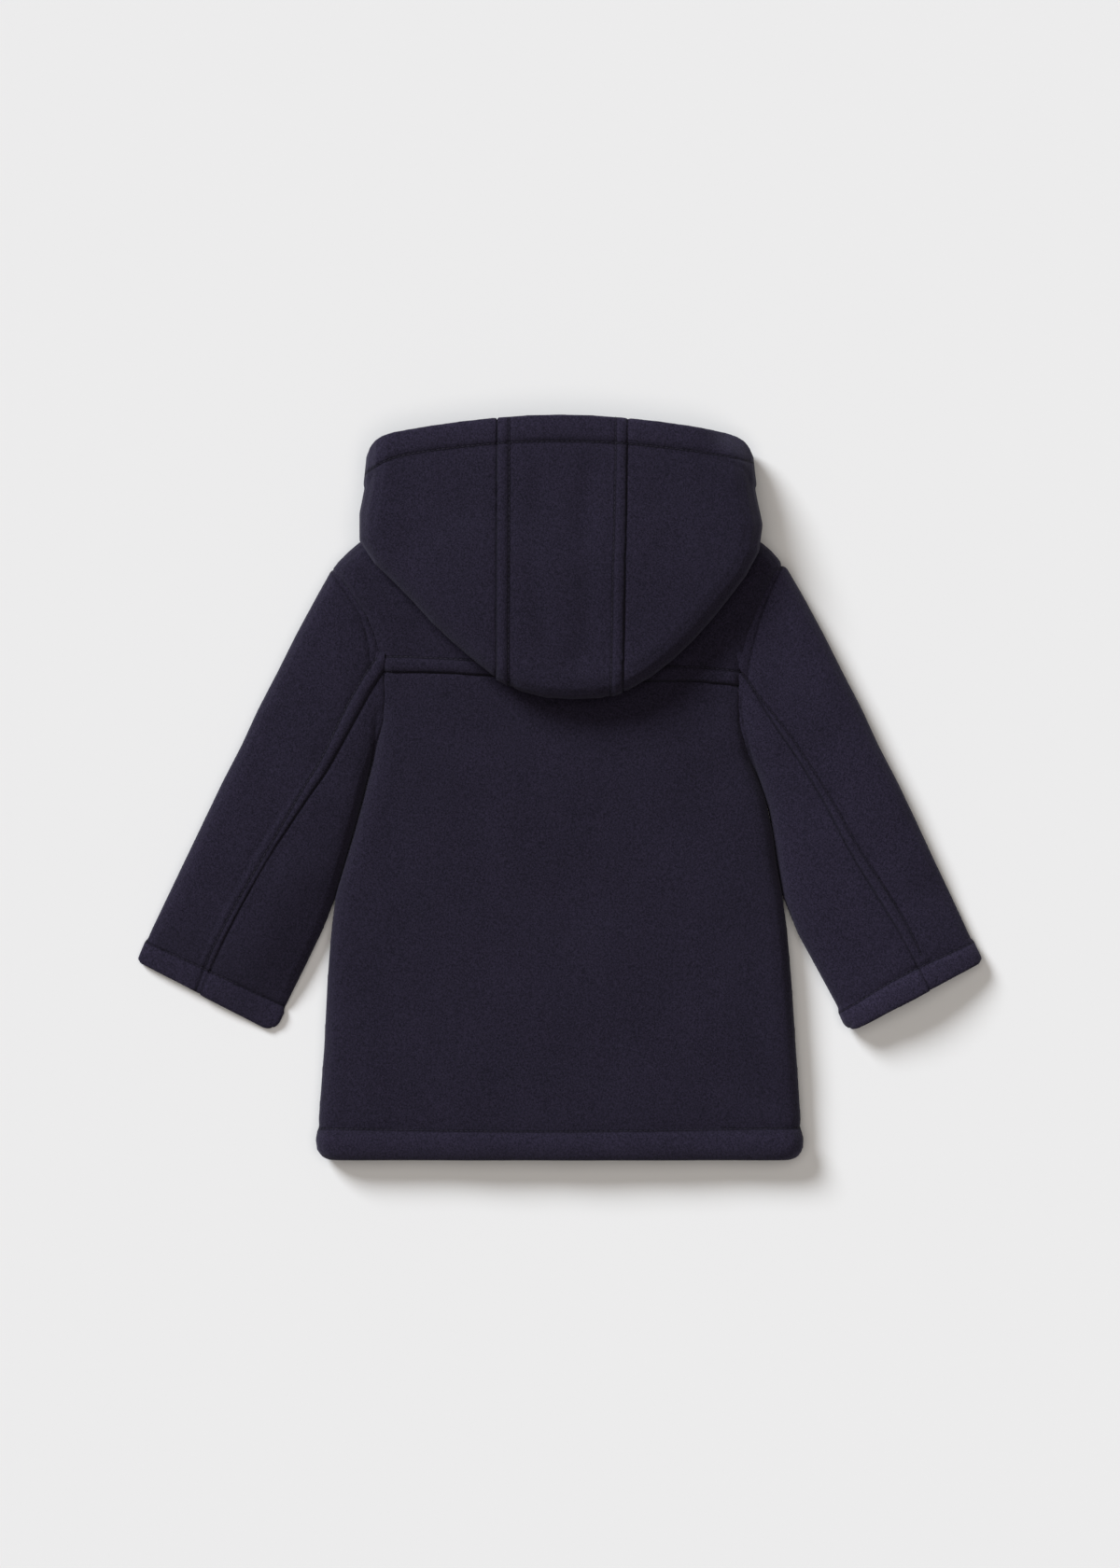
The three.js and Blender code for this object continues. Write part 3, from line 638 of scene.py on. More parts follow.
def smoothstep(value: np.ndarray, low: float, high: float) -> np.ndarray:
    """Returns a smooth rise from 0 at low to 1 at high."""
    share = np.clip((value - low) / (high - low), 0.0, 1.0)
    return share * share * (3.0 - 2.0 * share)


def rounded_line(line: Line, rounds: int = 2) -> Line:
    """Rounds a line's corners off.

    Args:
        line: The line's corners.
        rounds: How many times each corner is cut.

    Returns:
        The rounder line, with the same ends.
    """
    for _ in range(rounds):
        made = [line[0]]
        for (x0, y0), (x1, y1) in zip(line[:-1], line[1:]):
            made.append((0.75 * x0 + 0.25 * x1, 0.75 * y0 + 0.25 * y1))
            made.append((0.25 * x0 + 0.75 * x1, 0.25 * y0 + 0.75 * y1))
        made.append(line[-1])
        line = tuple(made)
    return line


def share_point(line: Line, share: float) -> np.ndarray:
    """Finds the point at a share of a line's length.

    Args:
        line: The line's corners.
        share: The share, from 0 to 1.

    Returns:
        The point's two coordinates.
    """
    points = np.array(line)
    runs = np.linalg.norm(np.diff(points, axis=0), axis=1)
    reached = np.concatenate([[0.0], np.cumsum(runs)])
    return np.array([np.interp(share * reached[-1], reached, points[:, axis]) for axis in (0, 1)])


def midline(first: Line, second: Line, parts: int = 12) -> Line:
    """Finds the line halfway between two lines that run side by side.

    Args:
        first: One line's corners.
        second: The other line's corners.
        parts: How many parts the result has.

    Returns:
        The line between them.
    """
    shares = [step / parts for step in range(parts + 1)]
    middles = [(share_point(first, share) + share_point(second, share)) / 2.0 for share in shares]
    return tuple((float(x), float(y)) for x, y in middles)


# --------------------------------------------------------------------------- cloth


@dataclass(frozen=True)
class Crease:
    """A soft trough or ridge in a layer of cloth.

    Attributes:
        line: Where it runs, seen from above, in millimetres.
        rise: Height, negative for a trough, in millimetres.
        width: Half of its width, in millimetres.
        above: It is in the cloth above this height only, in millimetres.
    """

    line: Line
    rise: float
    width: float
    above: float = 12.0

    def lift(self, places: np.ndarray) -> np.ndarray:
        """Raises or lowers the cloth.

        Args:
            places: The cloth's points, in metres.

        Returns:
            How far each point rises, in metres.
        """
        gap = line_distance(places, self.line)
        height = places[:, 2] / MM
        layer = smoothstep(height, self.above - LAYER_BLUR, self.above + LAYER_BLUR)
        return self.rise * MM * np.exp(-((gap / self.width) ** 2)) * layer


@dataclass(frozen=True)
class Settling:
    """A part of the cloth that lies flatter than the rest, all its layers alike.

    Attributes:
        line: The flattest line, seen from above, in millimetres.
        share: How much of its height it loses there.
        width: How far to its sides it fades, in millimetres.
    """

    line: Line
    share: float
    width: float

    def lift(self, places: np.ndarray) -> np.ndarray:
        """Returns how far each point rises, in metres."""
        gap = line_distance(places, self.line)
        return -self.share * places[:, 2] * np.exp(-((gap / self.width) ** 2))


class LineKind(Enum):
    """What draws the cloth in along a line, by the attribute that notes the distance to it; shade is
    painted into the felt by that distance.
    """

    STITCHED = STITCH_ATTRIBUTE
    SEWN = SEAM_ATTRIBUTE
    BANDED = BAND_ATTRIBUTE


@dataclass(frozen=True)
class PressedLine:
    """A row of topstitching or a seam, pressed into the upper face, or a padded band on it.

    Attributes:
        line: Where it runs, seen from above, in millimetres.
        kind: What draws the cloth in.
        depth: How deep the cloth is drawn in, in millimetres; less than 0 for a padded band.
        width: Half of the sharp part of the groove, in millimetres.
        swell: How deep the wide, soft part of the groove is, in millimetres.
        reach: Half of the soft part's width, in millimetres.
    """

    line: Line
    kind: LineKind = LineKind.STITCHED
    depth: float = 1.0
    width: float = 1.3
    swell: float = 0.5
    reach: float = 5.0

    def press(self, gap: np.ndarray) -> np.ndarray:
        """Presses the cloth in along the line.

        Args:
            gap: Each point's distance from the line, in millimetres.

        Returns:
            How deep each point is pressed, in metres.
        """
        sharp = self.depth * np.exp(-((gap / self.width) ** 2))
        soft = self.swell * np.exp(-((gap / self.reach) ** 2))
        return (sharp + soft) * MM


def stitched(line: Line) -> PressedLine:
    """Returns a row of topstitching along a rounded line."""
    return PressedLine(rounded_line(line))


def seam(line: Line, depth: float = 0.5) -> PressedLine:
    """Returns a seam along a rounded line, where two panels turn in."""
    turned_in = rounded_line(line)
    return PressedLine(turned_in, LineKind.SEWN, depth, width=1.0, swell=0.4, reach=4.0)


def tucked(line: Line) -> PressedLine:
    """Returns a line along which a panel goes in under the body's side fold, with shade painted
    along it as in a seam.
    """
    fold = rounded_line(line)
    return PressedLine(fold, LineKind.SEWN, depth=0.8, width=1.6, swell=0.6, reach=6.0)


def padded_strip(row: Line, parting: Line, rise: float, width: float, above: float) -> Crease:
    """Raises the seam allowance that lies under the cloth beside a seam.

    Args:
        row: The stitches that hold it.
        parting: The seam.
        rise: How high it stands, in millimetres.
        width: Half of its width, in millimetres.
        above: It is in the cloth above this height only, in millimetres.

    Returns:
        The ridge between the two lines.
    """
    return Crease(midline(row, parting), rise, width, above)


def banded(line: Line) -> PressedLine:
    """Returns a turned hem along its middle line, padded by its double cloth."""
    return PressedLine(rounded_line(line), LineKind.BANDED, depth=-1.0, width=7.0, swell=0.0)


@dataclass(frozen=True)
class RoundedCorner:
    """A corner of a turned hem, eased round.

    Attributes:
        apex: The sharp corner, seen from above, in millimetres.
        first: A place further along one edge.
        second: A place further along the other edge.
        radius: The corner's radius, in millimetres.
        core: Share of the radius inside which nothing moves.
        reach: How far from the circle's centre points still move, in radii.
        flattest: Least slope at which a direction meets an edge.
    """

    apex: Point
    first: Point
    second: Point
    radius: float
    core: float = 0.5
    reach: float = 3.0
    flattest: float = 0.2

    def eased(self, places: np.ndarray) -> np.ndarray:
        """Draws the points beyond the round corner in to it.

        Args:
            places: The cloth's points, in metres.

        Returns:
            The new points.
        """
        centre, inward, outward = self._round()
        spots = places[:, :2] / MM - centre
        distance = np.maximum(np.linalg.norm(spots, axis=1), 1e-6)
        heading = spots / distance[:, None]
        slope = np.maximum(heading @ outward[0], heading @ outward[1]).clip(self.flattest)
        inner, outer = self.core * self.radius, self.reach * self.radius
        drawn = inner + (distance - inner) * (self.radius - inner) / (self.radius / slope - inner)
        least = -(inward @ outward[0])
        held = (heading @ -inward > least) & (distance > inner) & (distance < outer)
        places = places.copy()
        places[held, :2] = (centre + heading[held] * drawn[held, None]) * MM
        return places

    def _round(self) -> tuple[np.ndarray, np.ndarray, list[np.ndarray]]:
        """Finds the circle that touches both edges.

        Returns:
            Its centre, the direction from the corner to it, and the two edges' outward directions.
        """
        apex = np.array(self.apex)
        along = [np.array(end) - apex for end in (self.first, self.second)]
        along = [run / np.linalg.norm(run) for run in along]
        inward = along[0] + along[1]
        inward /= np.linalg.norm(inward)
        sine = math.sqrt(1.0 - float(inward @ along[0]) ** 2)
        centre = apex + inward * self.radius / sine
        normals = [np.array([-run[1], run[0]]) for run in along]
        outward = [normal if normal @ (apex - centre) > 0 else -normal for normal in normals]
        return centre, inward, outward


@dataclass(frozen=True)
class Unevenness:
    """The slight waviness of thick cloth laid out by hand.

    Attributes:
        rise: Typical height of the waves, in millimetres.
        span: Typical length of a wave, in millimetres.
        waves: How many waves lie over each other.
        seed: Seed of their directions and lengths.
        held: Height up to which the cloth lies flat, in millimetres.
        free: Height from which it is quite free, in millimetres.
    """

    rise: float = 0.55
    span: float = 75.0
    waves: int = 14
    seed: int = 11
    held: float = 5.0
    free: float = 16.0

    def lift(self, places: np.ndarray) -> np.ndarray:
        """Raises or lowers the cloth.

        Args:
            places: The cloth's points, in metres.

        Returns:
            How far each point rises, in metres.
        """
        source = np.random.default_rng(self.seed)
        spots = places[:, :2] / MM
        total = np.zeros(len(spots))
        for _ in range(self.waves):
            turn = source.uniform(0.0, math.tau)
            span = self.span * source.uniform(0.6, 1.8)
            phase = source.uniform(0.0, math.tau)
            direction = np.array([math.cos(turn), math.sin(turn)])
            total += np.sin(spots @ direction * math.tau / span + phase)
        layer = smoothstep(places[:, 2] / MM, self.held, self.free)
        return total / math.sqrt(self.waves) * self.rise * MM * layer


@dataclass(frozen=True)
class Cut:
    """The flat cut of a panel.

    Attributes:
        flat: Width and length of the rectangle that it comes from, in metres.
        area: Its area, in square metres.
    """

    flat: tuple[float, float]
    area: float


@dataclass
class ClothPanel:
    """One panel of felted cloth, cut, sewn and laid in the place of its CAD node.

    Attributes:
        node: The CAD node that it replaces.
        slot: The material slot that its finish belongs to.
        cut: Its flat cut.
        rests_on: The nodes that it lies on.
        held: How it is held.
        voxel: Size of the mesh's cells, in millimetres.
        loft: How far the felt's surface fluffs out, in millimetres.
        passes: How often its surface is evened out.
        rows: The rows of topstitching and the seams on it.
        creases: Its soft creases.
        corners: The corners of its turned hem.
        piece: The finished panel, once it is built.
    """

    node: str
    slot: Slot
    cut: Cut
    rests_on: tuple[str, ...]
    held: str = "laid"
    voxel: float = 1.5
    loft: float = 0.5
    passes: int = 4
    rows: tuple[PressedLine, ...] = ()
    creases: tuple[Crease | Settling, ...] = ()
    corners: tuple[RoundedCorner, ...] = ()
    piece: bpy.types.Object | None = field(default=None, init=False)

    def build(self, finish: bpy.types.Material) -> None:
        """Makes the panel and puts it in the place of its node.

        Args:
            finish: The cloth's material.
        """
        mesh = self._remeshed()
        places = relaxed(mesh, vertex_places(mesh), self.passes)
        for corner in self.corners:
            places = corner.eased(places)
        for crease in self.creases:
            places[:, 2] += crease.lift(places)
        places[:, 2] += Unevenness().lift(places)
        place_vertices(mesh, places)
        self._press_rows(mesh)
        places = vertex_places(mesh)
        places[:, 2] = np.maximum(places[:, 2], FLOOR_GAP)
        place_vertices(mesh, places)
        mesh.materials.clear()
        mesh.materials.append(finish)
        mesh.shade_smooth()
        self.piece = bpy.data.objects.new(f"{self.node}_cloth", mesh)
        bpy.context.scene.collection.objects.link(self.piece)
        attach(self.piece, "root")
        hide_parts(self.node)

    def declare(self, with_pieces: list[bpy.types.Object]) -> None:
        """Args:
            with_pieces: The pieces that are sewn on it; not used.
        """

    def _remeshed(self) -> bpy.types.Mesh:
        """Makes an even, closed mesh of the node's form.

        Returns:
            The mesh.
        """
        mesh = frame["nodes"][self.node].data.copy()
        merged = bmesh.new()
        merged.from_mesh(mesh)
        bmesh.ops.remove_doubles(merged, verts=merged.verts, dist=MERGE_GAP)
        merged.normal_update()
        for corner in merged.verts:
            corner.co += corner.normal * self.loft * MM
        merged.to_mesh(mesh)
        merged.free()
        block = bpy.data.objects.new("block", mesh)
        bpy.context.scene.collection.objects.link(block)
        remesh = block.modifiers.new("remesh", "REMESH")
        remesh.mode = "VOXEL"
        remesh.voxel_size = self.voxel * MM * 1.0
        graph = bpy.context.evaluated_depsgraph_get()
        made = bpy.data.meshes.new_from_object(block.evaluated_get(graph))
        bpy.data.objects.remove(block)
        bpy.data.meshes.remove(mesh)
        made.name = f"{self.node}_cloth"
        return made

    def _press_rows(self, mesh: bpy.types.Mesh) -> None:
        """Presses the rows and seams down into the upper face, and notes each point's distance, by
        which shade is painted.

        Args:
            mesh: The panel's mesh.
        """
        places = vertex_places(mesh)
        normals = vertex_normals(mesh)
        nearest = {kind: np.full(len(places), FAR) for kind in LineKind}
        corners = [Vector(place) for place in places]
        tree = BVHTree.FromPolygons(corners, [tuple(face.vertices) for face in mesh.polygons])
        moved = places.copy()
        for row in self.rows:
            gap = line_distance(places, row.line)
            close = np.nonzero((gap < 3.0 * row.reach) & (normals[:, 2] > FACES_UP))[0]
            close = close[self._uncovered(tree, places[close])]
            moved[close, 2] -= row.press(gap[close])
            nearest[row.kind] = np.minimum(nearest[row.kind], gap)
        place_vertices(mesh, moved)
        for kind, gaps in nearest.items():
            distance = mesh.attributes.new(kind.value, "FLOAT", "POINT")
            distance.data.foreach_set("value", gaps.astype(np.float32))

    @staticmethod
    def _uncovered(tree: BVHTree, places: np.ndarray) -> np.ndarray:
        """Tells which points have none of the panel's own cloth above them.

        Args:
            tree: The panel's faces.
            places: The points.

        Returns:
            True for each point that is on the outer, upper face.
        """
        up = Vector((0.0, 0.0, 1.0))
        start = Vector((0.0, 0.0, RAY_LIFT))
        return np.array([tree.ray_cast(Vector(p) + start, up)[0] is None for p in places], bool)


# --------------------------------------------------------------------------- stitches


@dataclass
class ThreadRow:
    """Stitches of thread along a row, made with Geometry Nodes.

    Attributes:
        name: The piece's name.
        slot: The material slot that it belongs to.
        pitch: Distance from one stitch to the next, in millimetres.
        length: Length of one stitch, in millimetres.
        thickness: Thickness of the thread, in millimetres.
        sunk: How far a stitch's middle lies under the cloth's face, in millimetres.
        guide_step: Distance between the points that follow the cloth, in millimetres.
        lowest: Height under which a row is on a hidden layer and isn't made, in millimetres.
    """

    name: str
    slot: Slot
    pitch: float = 3.3
    length: float = 2.7
    thickness: float = 0.55
    sunk: float = 0.02
    guide_step: float = 1.6
    lowest: float = 9.0

    def build(
        self,
        panels: list[bpy.types.Object],
        lines: list[Line],
        finish: bpy.types.Material,
    ) -> bpy.types.Object:
        """Makes the stitches of some rows as one piece.

        Args:
            panels: The panels that the rows lie on.
            lines: The rows, in millimetres, seen from above.
            finish: The thread's material.

        Returns:
            The finished stitches.
        """
        guide = self._guide(panels, lines)
        tree, sockets = self._tree(finish)
        modifier = guide.modifiers.new("stitches", "NODES")
        modifier.node_group = tree
        modifier[sockets["Pitch"]] = self.pitch * MM
        modifier[sockets["Length"]] = self.length * MM
        modifier[sockets["Thickness"]] = self.thickness * MM
        graph = bpy.context.evaluated_depsgraph_get()
        mesh = bpy.data.meshes.new_from_object(guide.evaluated_get(graph))
        bpy.data.objects.remove(guide)
        mesh.name = self.name
        piece = bpy.data.objects.new(self.name, mesh)
        bpy.context.scene.collection.objects.link(piece)
        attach(piece, "root")
        return piece

    def _guide(self, panels: list[bpy.types.Object], lines: list[Line]) -> bpy.types.Object:
        """Lays the rows on the panels as a mesh of edges.

        Args:
            panels: The panels.
            lines: The rows.

        Returns:
            An object with the guide lines.
        """
        graph = bpy.context.evaluated_depsgraph_get()
        trees = [BVHTree.FromObject(panel, graph) for panel in panels]
        points: list[Vector] = []
        edges: list[tuple[int, int]] = []
        for line in lines:
            joined = False
            for x, y in spaced(line, self.guide_step):
                height = top_height(trees, x * MM, y * MM)
                if height < self.lowest * MM:
                    joined = False
                    continue
                points.append(Vector((x * MM, y * MM, height - self.sunk * MM)))
                if joined:
                    edges.append((len(points) - 2, len(points) - 1))
                joined = True
        mesh = bpy.data.meshes.new("guide")
        mesh.from_pydata(points, edges, [])
        guide = bpy.data.objects.new("guide", mesh)
        bpy.context.scene.collection.objects.link(guide)
        return guide

    def _tree(self, finish: bpy.types.Material) -> tuple[bpy.types.NodeTree, dict[str, str]]:
        """Builds the node tree that sets stitches along curves.

        Args:
            finish: The thread's material.

        Returns:
            The tree, and each input's identifier by its name.
        """
        tree = bpy.data.node_groups.new("stitch_rows", "GeometryNodeTree")
        sockets = self._inputs(tree)
        new, link = tree.nodes.new, tree.links.new
        given, result = new("NodeGroupInput"), new("NodeGroupOutput")
        curve, spread = new("GeometryNodeMeshToCurve"), new("GeometryNodeResampleCurve")
        spread.mode = "LENGTH"
        link(given.outputs["Geometry"], curve.inputs["Mesh"])
        link(curve.outputs["Curve"], spread.inputs["Curve"])
        link(given.outputs["Pitch"], spread.inputs["Length"])
        tangent, turn = new("GeometryNodeInputTangent"), new("FunctionNodeAlignRotationToVector")
        turn.axis = "Z"
        link(tangent.outputs["Tangent"], turn.inputs["Vector"])
        place = new("GeometryNodeInstanceOnPoints")
        link(spread.outputs["Curve"], place.inputs["Points"])
        link(self._stitch(tree, given), place.inputs["Instance"])
        link(turn.outputs["Rotation"], place.inputs["Rotation"])
        link(self._jitter(tree), place.inputs["Scale"])
        solid, dress = new("GeometryNodeRealizeInstances"), new("GeometryNodeSetMaterial")
        dress.inputs["Material"].default_value = finish
        link(place.outputs["Instances"], solid.inputs["Geometry"])
        link(solid.outputs["Geometry"], dress.inputs["Geometry"])
        link(dress.outputs["Geometry"], result.inputs[0])
        return tree, sockets

    @staticmethod
    def _inputs(tree: bpy.types.NodeTree) -> dict[str, str]:
        """Gives the tree its sockets.

        Args:
            tree: The node tree.

        Returns:
            Each number's identifier by its name.
        """
        face = tree.interface
        face.new_socket("Geometry", in_out="INPUT", socket_type="NodeSocketGeometry")
        sockets = {
            name: face.new_socket(name, in_out="INPUT", socket_type="NodeSocketFloat").identifier
            for name in ("Pitch", "Length", "Thickness")
        }
        face.new_socket("Geometry", in_out="OUTPUT", socket_type="NodeSocketGeometry")
        return sockets

    @staticmethod
    def _stitch(tree: bpy.types.NodeTree, given: bpy.types.Node) -> bpy.types.NodeSocket:
        """Shapes one stitch as a long bead of thread.

        Args:
            tree: The node tree.
            given: The tree's inputs.

        Returns:
            The stitch, along +Z.
        """
        new, link = tree.nodes.new, tree.links.new
        bead = new("GeometryNodeMeshUVSphere")
        bead.inputs["Segments"].default_value = 6
        bead.inputs["Rings"].default_value = 5
        bead.inputs["Radius"].default_value = 0.5
        size = new("ShaderNodeCombineXYZ")
        link(given.outputs["Thickness"], size.inputs["X"])
        link(given.outputs["Thickness"], size.inputs["Y"])
        link(given.outputs["Length"], size.inputs["Z"])
        shape = new("GeometryNodeTransform")
        link(bead.outputs["Mesh"], shape.inputs["Geometry"])
        link(size.outputs["Vector"], shape.inputs["Scale"])
        return shape.outputs["Geometry"]

    @staticmethod
    def _jitter(tree: bpy.types.NodeTree) -> bpy.types.NodeSocket:
        """Varies the stitches' thickness and length a little.

        Args:
            tree: The node tree.

        Returns:
            Each stitch's scale.
        """
        jitter = tree.nodes.new("FunctionNodeRandomValue")
        jitter.data_type = "FLOAT_VECTOR"
        jitter.inputs["Min"].default_value = (0.85, 0.85, 0.88)
        jitter.inputs["Max"].default_value = (1.15, 1.15, 1.06)
        jitter.inputs["Seed"].default_value = 5
        return jitter.outputs["Value"]


def top_height(trees: list[BVHTree], x: float, y: float) -> float:
    """Finds how high the uppermost cloth is at a place.

    Args:
        trees: The faces of each panel.
        x: The place's distance to the right, in metres.
        y: The place's distance upwards, seen from above, in metres.

    Returns:
        The height in metres, or 0 beside the cloth.
    """
    start, down = Vector((x, y, ABOVE_ALL)), Vector((0.0, 0.0, -1.0))
    hits = [tree.ray_cast(start, down)[0] for tree in trees]
    return max((hit.z for hit in hits if hit is not None), default=0.0)


def spaced(line: Line, step: float) -> list[Point]:
    """Returns points along a line, about a step apart.

    Args:
        line: The line's corners.
        step: The distance between two points.

    Returns:
        The points.
    """
    made = [line[0]]
    for (x0, y0), (x1, y1) in zip(line[:-1], line[1:]):
        count = max(1, round(math.dist((x0, y0), (x1, y1)) / step))
        for number in range(1, count + 1):
            share = number / count
            made.append((x0 + (x1 - x0) * share, y0 + (y1 - y0) * share))
    return made


# --------------------------------------------------------------------------- sub-assemblies


@dataclass
class Body:
    """The lower back, the yoke and the two fronts underneath.

    Attributes:
        lower_cut: Cut of the lower back.
        yoke_cut: Cut of the yoke.
        front_cut: Cut of each front.
        lower_voxel: Size of the lower back's mesh cells, in millimetres.
        yoke_voxel: Size of the yoke's mesh cells.
        front_voxel: Size of the fronts' mesh cells.
        front_loft: How far the fronts' felt fluffs out, in millimetres.
        armhole_depth: How deep the armholes' seams are, in millimetres.
        hem_row: The stitches above the hem.
        yoke_row: The stitches above the yoke's seam.
        hem_band: The middle of the turned hem.
        yoke_seam: The seam between the yoke and the lower back.
        armholes: The left and the right armhole's seam.
        creases: The soft creases of the back.
    """

    lower_cut: Cut = Cut((0.362, 0.360), 0.112)
    yoke_cut: Cut = Cut((0.310, 0.142), 0.0375)
    front_cut: Cut = Cut((0.172, 0.418), 0.061)
    lower_voxel: float = 1.75
    yoke_voxel: float = 1.4
    front_voxel: float = 1.9
    front_loft: float = 0.9
    armhole_depth: float = 0.9
    hem_row: Line = ((-166, -225.2), (-120, -225.8), (0, -227.5), (120, -225.4), (166, -225))
    yoke_row: Line = (
        (-150, 87),
        (-108, 87.2),
        (-90, 86.5),
        (-54, 84.5),
        (0, 82),
        (54, 80.5),
        (92, 80.5),
        (124, 76.5),
        (150, 75.8),
    )
    hem_band: Line = ((-156, -236), (156, -236))
    yoke_seam: Line = (
        (-170, 76),
        (-122, 77),
        (-90, 77),
        (-54, 75),
        (0, 72.5),
        (54, 71),
        (92, 71),
        (124, 67),
        (170, 66),
    )
    armholes: tuple[Line, Line] = (
        ((-156, 150), (-149, 139), (-141, 127), (-133, 115), (-128, 101), (-126, 84), (-125, 77)),
        ((155, 160), (147, 147), (140, 132), (134, 117.5), (128, 97), (124.5, 81), (123, 66.5)),
    )
    creases: tuple[Crease, ...] = (
        Crease(((-104, 66), (-88, 44), (-66, 30)), -1.1, 12.0),
        Crease(((118, 20), (96, 6), (84, -20)), -0.9, 14.0),
        Crease(((-60, -40), (-20, -66), (30, -74)), -0.6, 22.0),
        Crease(((-118, 82), (-54, 80), (0, 77), (60, 76), (118, 72)), 0.9, 4.0, 10.0),
    )

    def build(
        self, cloth: bpy.types.Material, thread: bpy.types.Material
    ) -> list[bpy.types.Object]:
        """Builds the body's panels and their stitches.

        Args:
            cloth: The felt's material.
            thread: The thread's material.

        Returns:
            The finished pieces.
        """
        left, right = self._front("front_left", ("front_right",)), self._front("front_right", ())
        back, top = self._back(), self._yoke()
        panels = [right, left, back, top]
        for panel in panels:
            panel.build(cloth)
        hem, yoke = stitched(self.hem_row).line, stitched(self.yoke_row).line
        hem_thread = ThreadRow("body_hem_stitches", Slot.BODY).build([back.piece], [hem], thread)
        yoke_thread = ThreadRow("yoke_stitches", Slot.BODY).build([top.piece], [yoke], thread)
        back.declare([hem_thread])
        top.declare([yoke_thread])
        left.declare([])
        right.declare([])
        return [*(panel.piece for panel in panels), hem_thread, yoke_thread]

    def _front(self, node: str, rests_on: tuple[str, ...]) -> ClothPanel:
        """Plans one front.

        Args:
            node: The front's node.
            rests_on: The nodes that it lies on.

        Returns:
            The panel, not yet built.
        """
        return ClothPanel(
            node,
            Slot.BODY,
            self.front_cut,
            rests_on,
            voxel=self.front_voxel,
            loft=self.front_loft,
        )

    def _back(self) -> ClothPanel:
        """Plans the lower back, with its turned hem.

        Returns:
            The panel, not yet built.
        """
        return ClothPanel(
            "back_panel",
            Slot.BODY,
            self.lower_cut,
            ("front_left", "front_right"),
            voxel=self.lower_voxel,
            rows=(stitched(self.hem_row), seam(self.yoke_seam), banded(self.hem_band)),
            creases=self.creases,
        )

    def _yoke(self) -> ClothPanel:
        """Plans the yoke, with its lapped seam and the two armholes.

        Returns:
            The panel, not yet built.
        """
        armholes = (seam(line, self.armhole_depth) for line in self.armholes)
        return ClothPanel(
            "back_yoke",
            Slot.BODY,
            self.yoke_cut,
            ("sleeve_left_upper", "sleeve_right_upper"),
            voxel=self.yoke_voxel,
            rows=(stitched(self.yoke_row), seam(self.yoke_seam), *armholes),
            creases=self.creases,
        )


@dataclass
class Sleeve:
    """One two-piece sleeve.

    Attributes:
        side: The side that it is on.
        back_row: The stitches along its back seam.
        back_seam: The seam along its back.
        cuff_row: The stitches above its cuff's hem.
        armhole: The seam that joins it to the yoke.
        body_edge: The line along which it goes in under the body, where shade is painted.
        cuff_band: The middle of its turned hem.
        creases: Its soft creases.
        corners: The corners of its cuff.
        upper_cut: Cut of the outer half.
        under_cut: Cut of the inner half.
        voxel: Size of its mesh cells, in millimetres.
        under_loft: How far the inner half's felt fluffs out, in millimetres.
        armhole_depth: How deep the armhole's seam is, in millimetres.
        strip: Rise, half width and least height of the padded strip, in millimetres.
    """

    side: Side
    back_row: Line
    back_seam: Line
    cuff_row: Line
    armhole: Line
    body_edge: Line
    cuff_band: Line
    creases: tuple[Crease | Settling, ...]
    corners: tuple[RoundedCorner, ...]
    upper_cut: Cut = Cut((0.150, 0.300), 0.0350)
    under_cut: Cut = Cut((0.100, 0.270), 0.0195)
    voxel: float = 1.4
    under_loft: float = 1.1
    armhole_depth: float = 0.9
    strip: tuple[float, float, float] = (1.0, 4.0, 10.0)

    def build(
        self, cloth: bpy.types.Material, thread: bpy.types.Material
    ) -> list[bpy.types.Object]:
        """Builds the sleeve's two panels and their stitches.

        Args:
            cloth: The felt's material.
            thread: The thread's material.

        Returns:
            The finished pieces.
        """
        stem = f"sleeve_{self.side.value}"
        back, cuff = stitched(self.back_row), stitched(self.cuff_row)
        parting, tuck, band = seam(self.back_seam), tucked(self.body_edge), banded(self.cuff_band)
        padded = padded_strip(self.back_row, self.back_seam, *self.strip)
        shared = {
            "slot": Slot.SLEEVES,
            "voxel": self.voxel,
            "creases": (padded, *self.creases),
            "corners": self.corners,
        }
        upper = ClothPanel(
            node=f"{stem}_upper",
            cut=self.upper_cut,
            rests_on=(f"{stem}_under",),
            rows=(back, cuff, parting, seam(self.armhole, self.armhole_depth), tuck, band),
            **shared,
        )
        under = ClothPanel(
            node=f"{stem}_under",
            cut=self.under_cut,
            rests_on=(),
            loft=self.under_loft,
            rows=(cuff, parting, tuck, band),
            **shared,
        )
        under.build(cloth)
        upper.build(cloth)
        back_row = ThreadRow(f"{stem}_back_stitches", Slot.SLEEVES)
        back_thread = back_row.build([upper.piece], [back.line], thread)
        cuff_row = ThreadRow(f"{stem}_cuff_stitches", Slot.SLEEVES)
        cuff_thread = cuff_row.build([upper.piece, under.piece], [cuff.line], thread)
        upper.declare([back_thread, cuff_thread])
        under.declare([])
        return [under.piece, upper.piece, back_thread, cuff_thread]


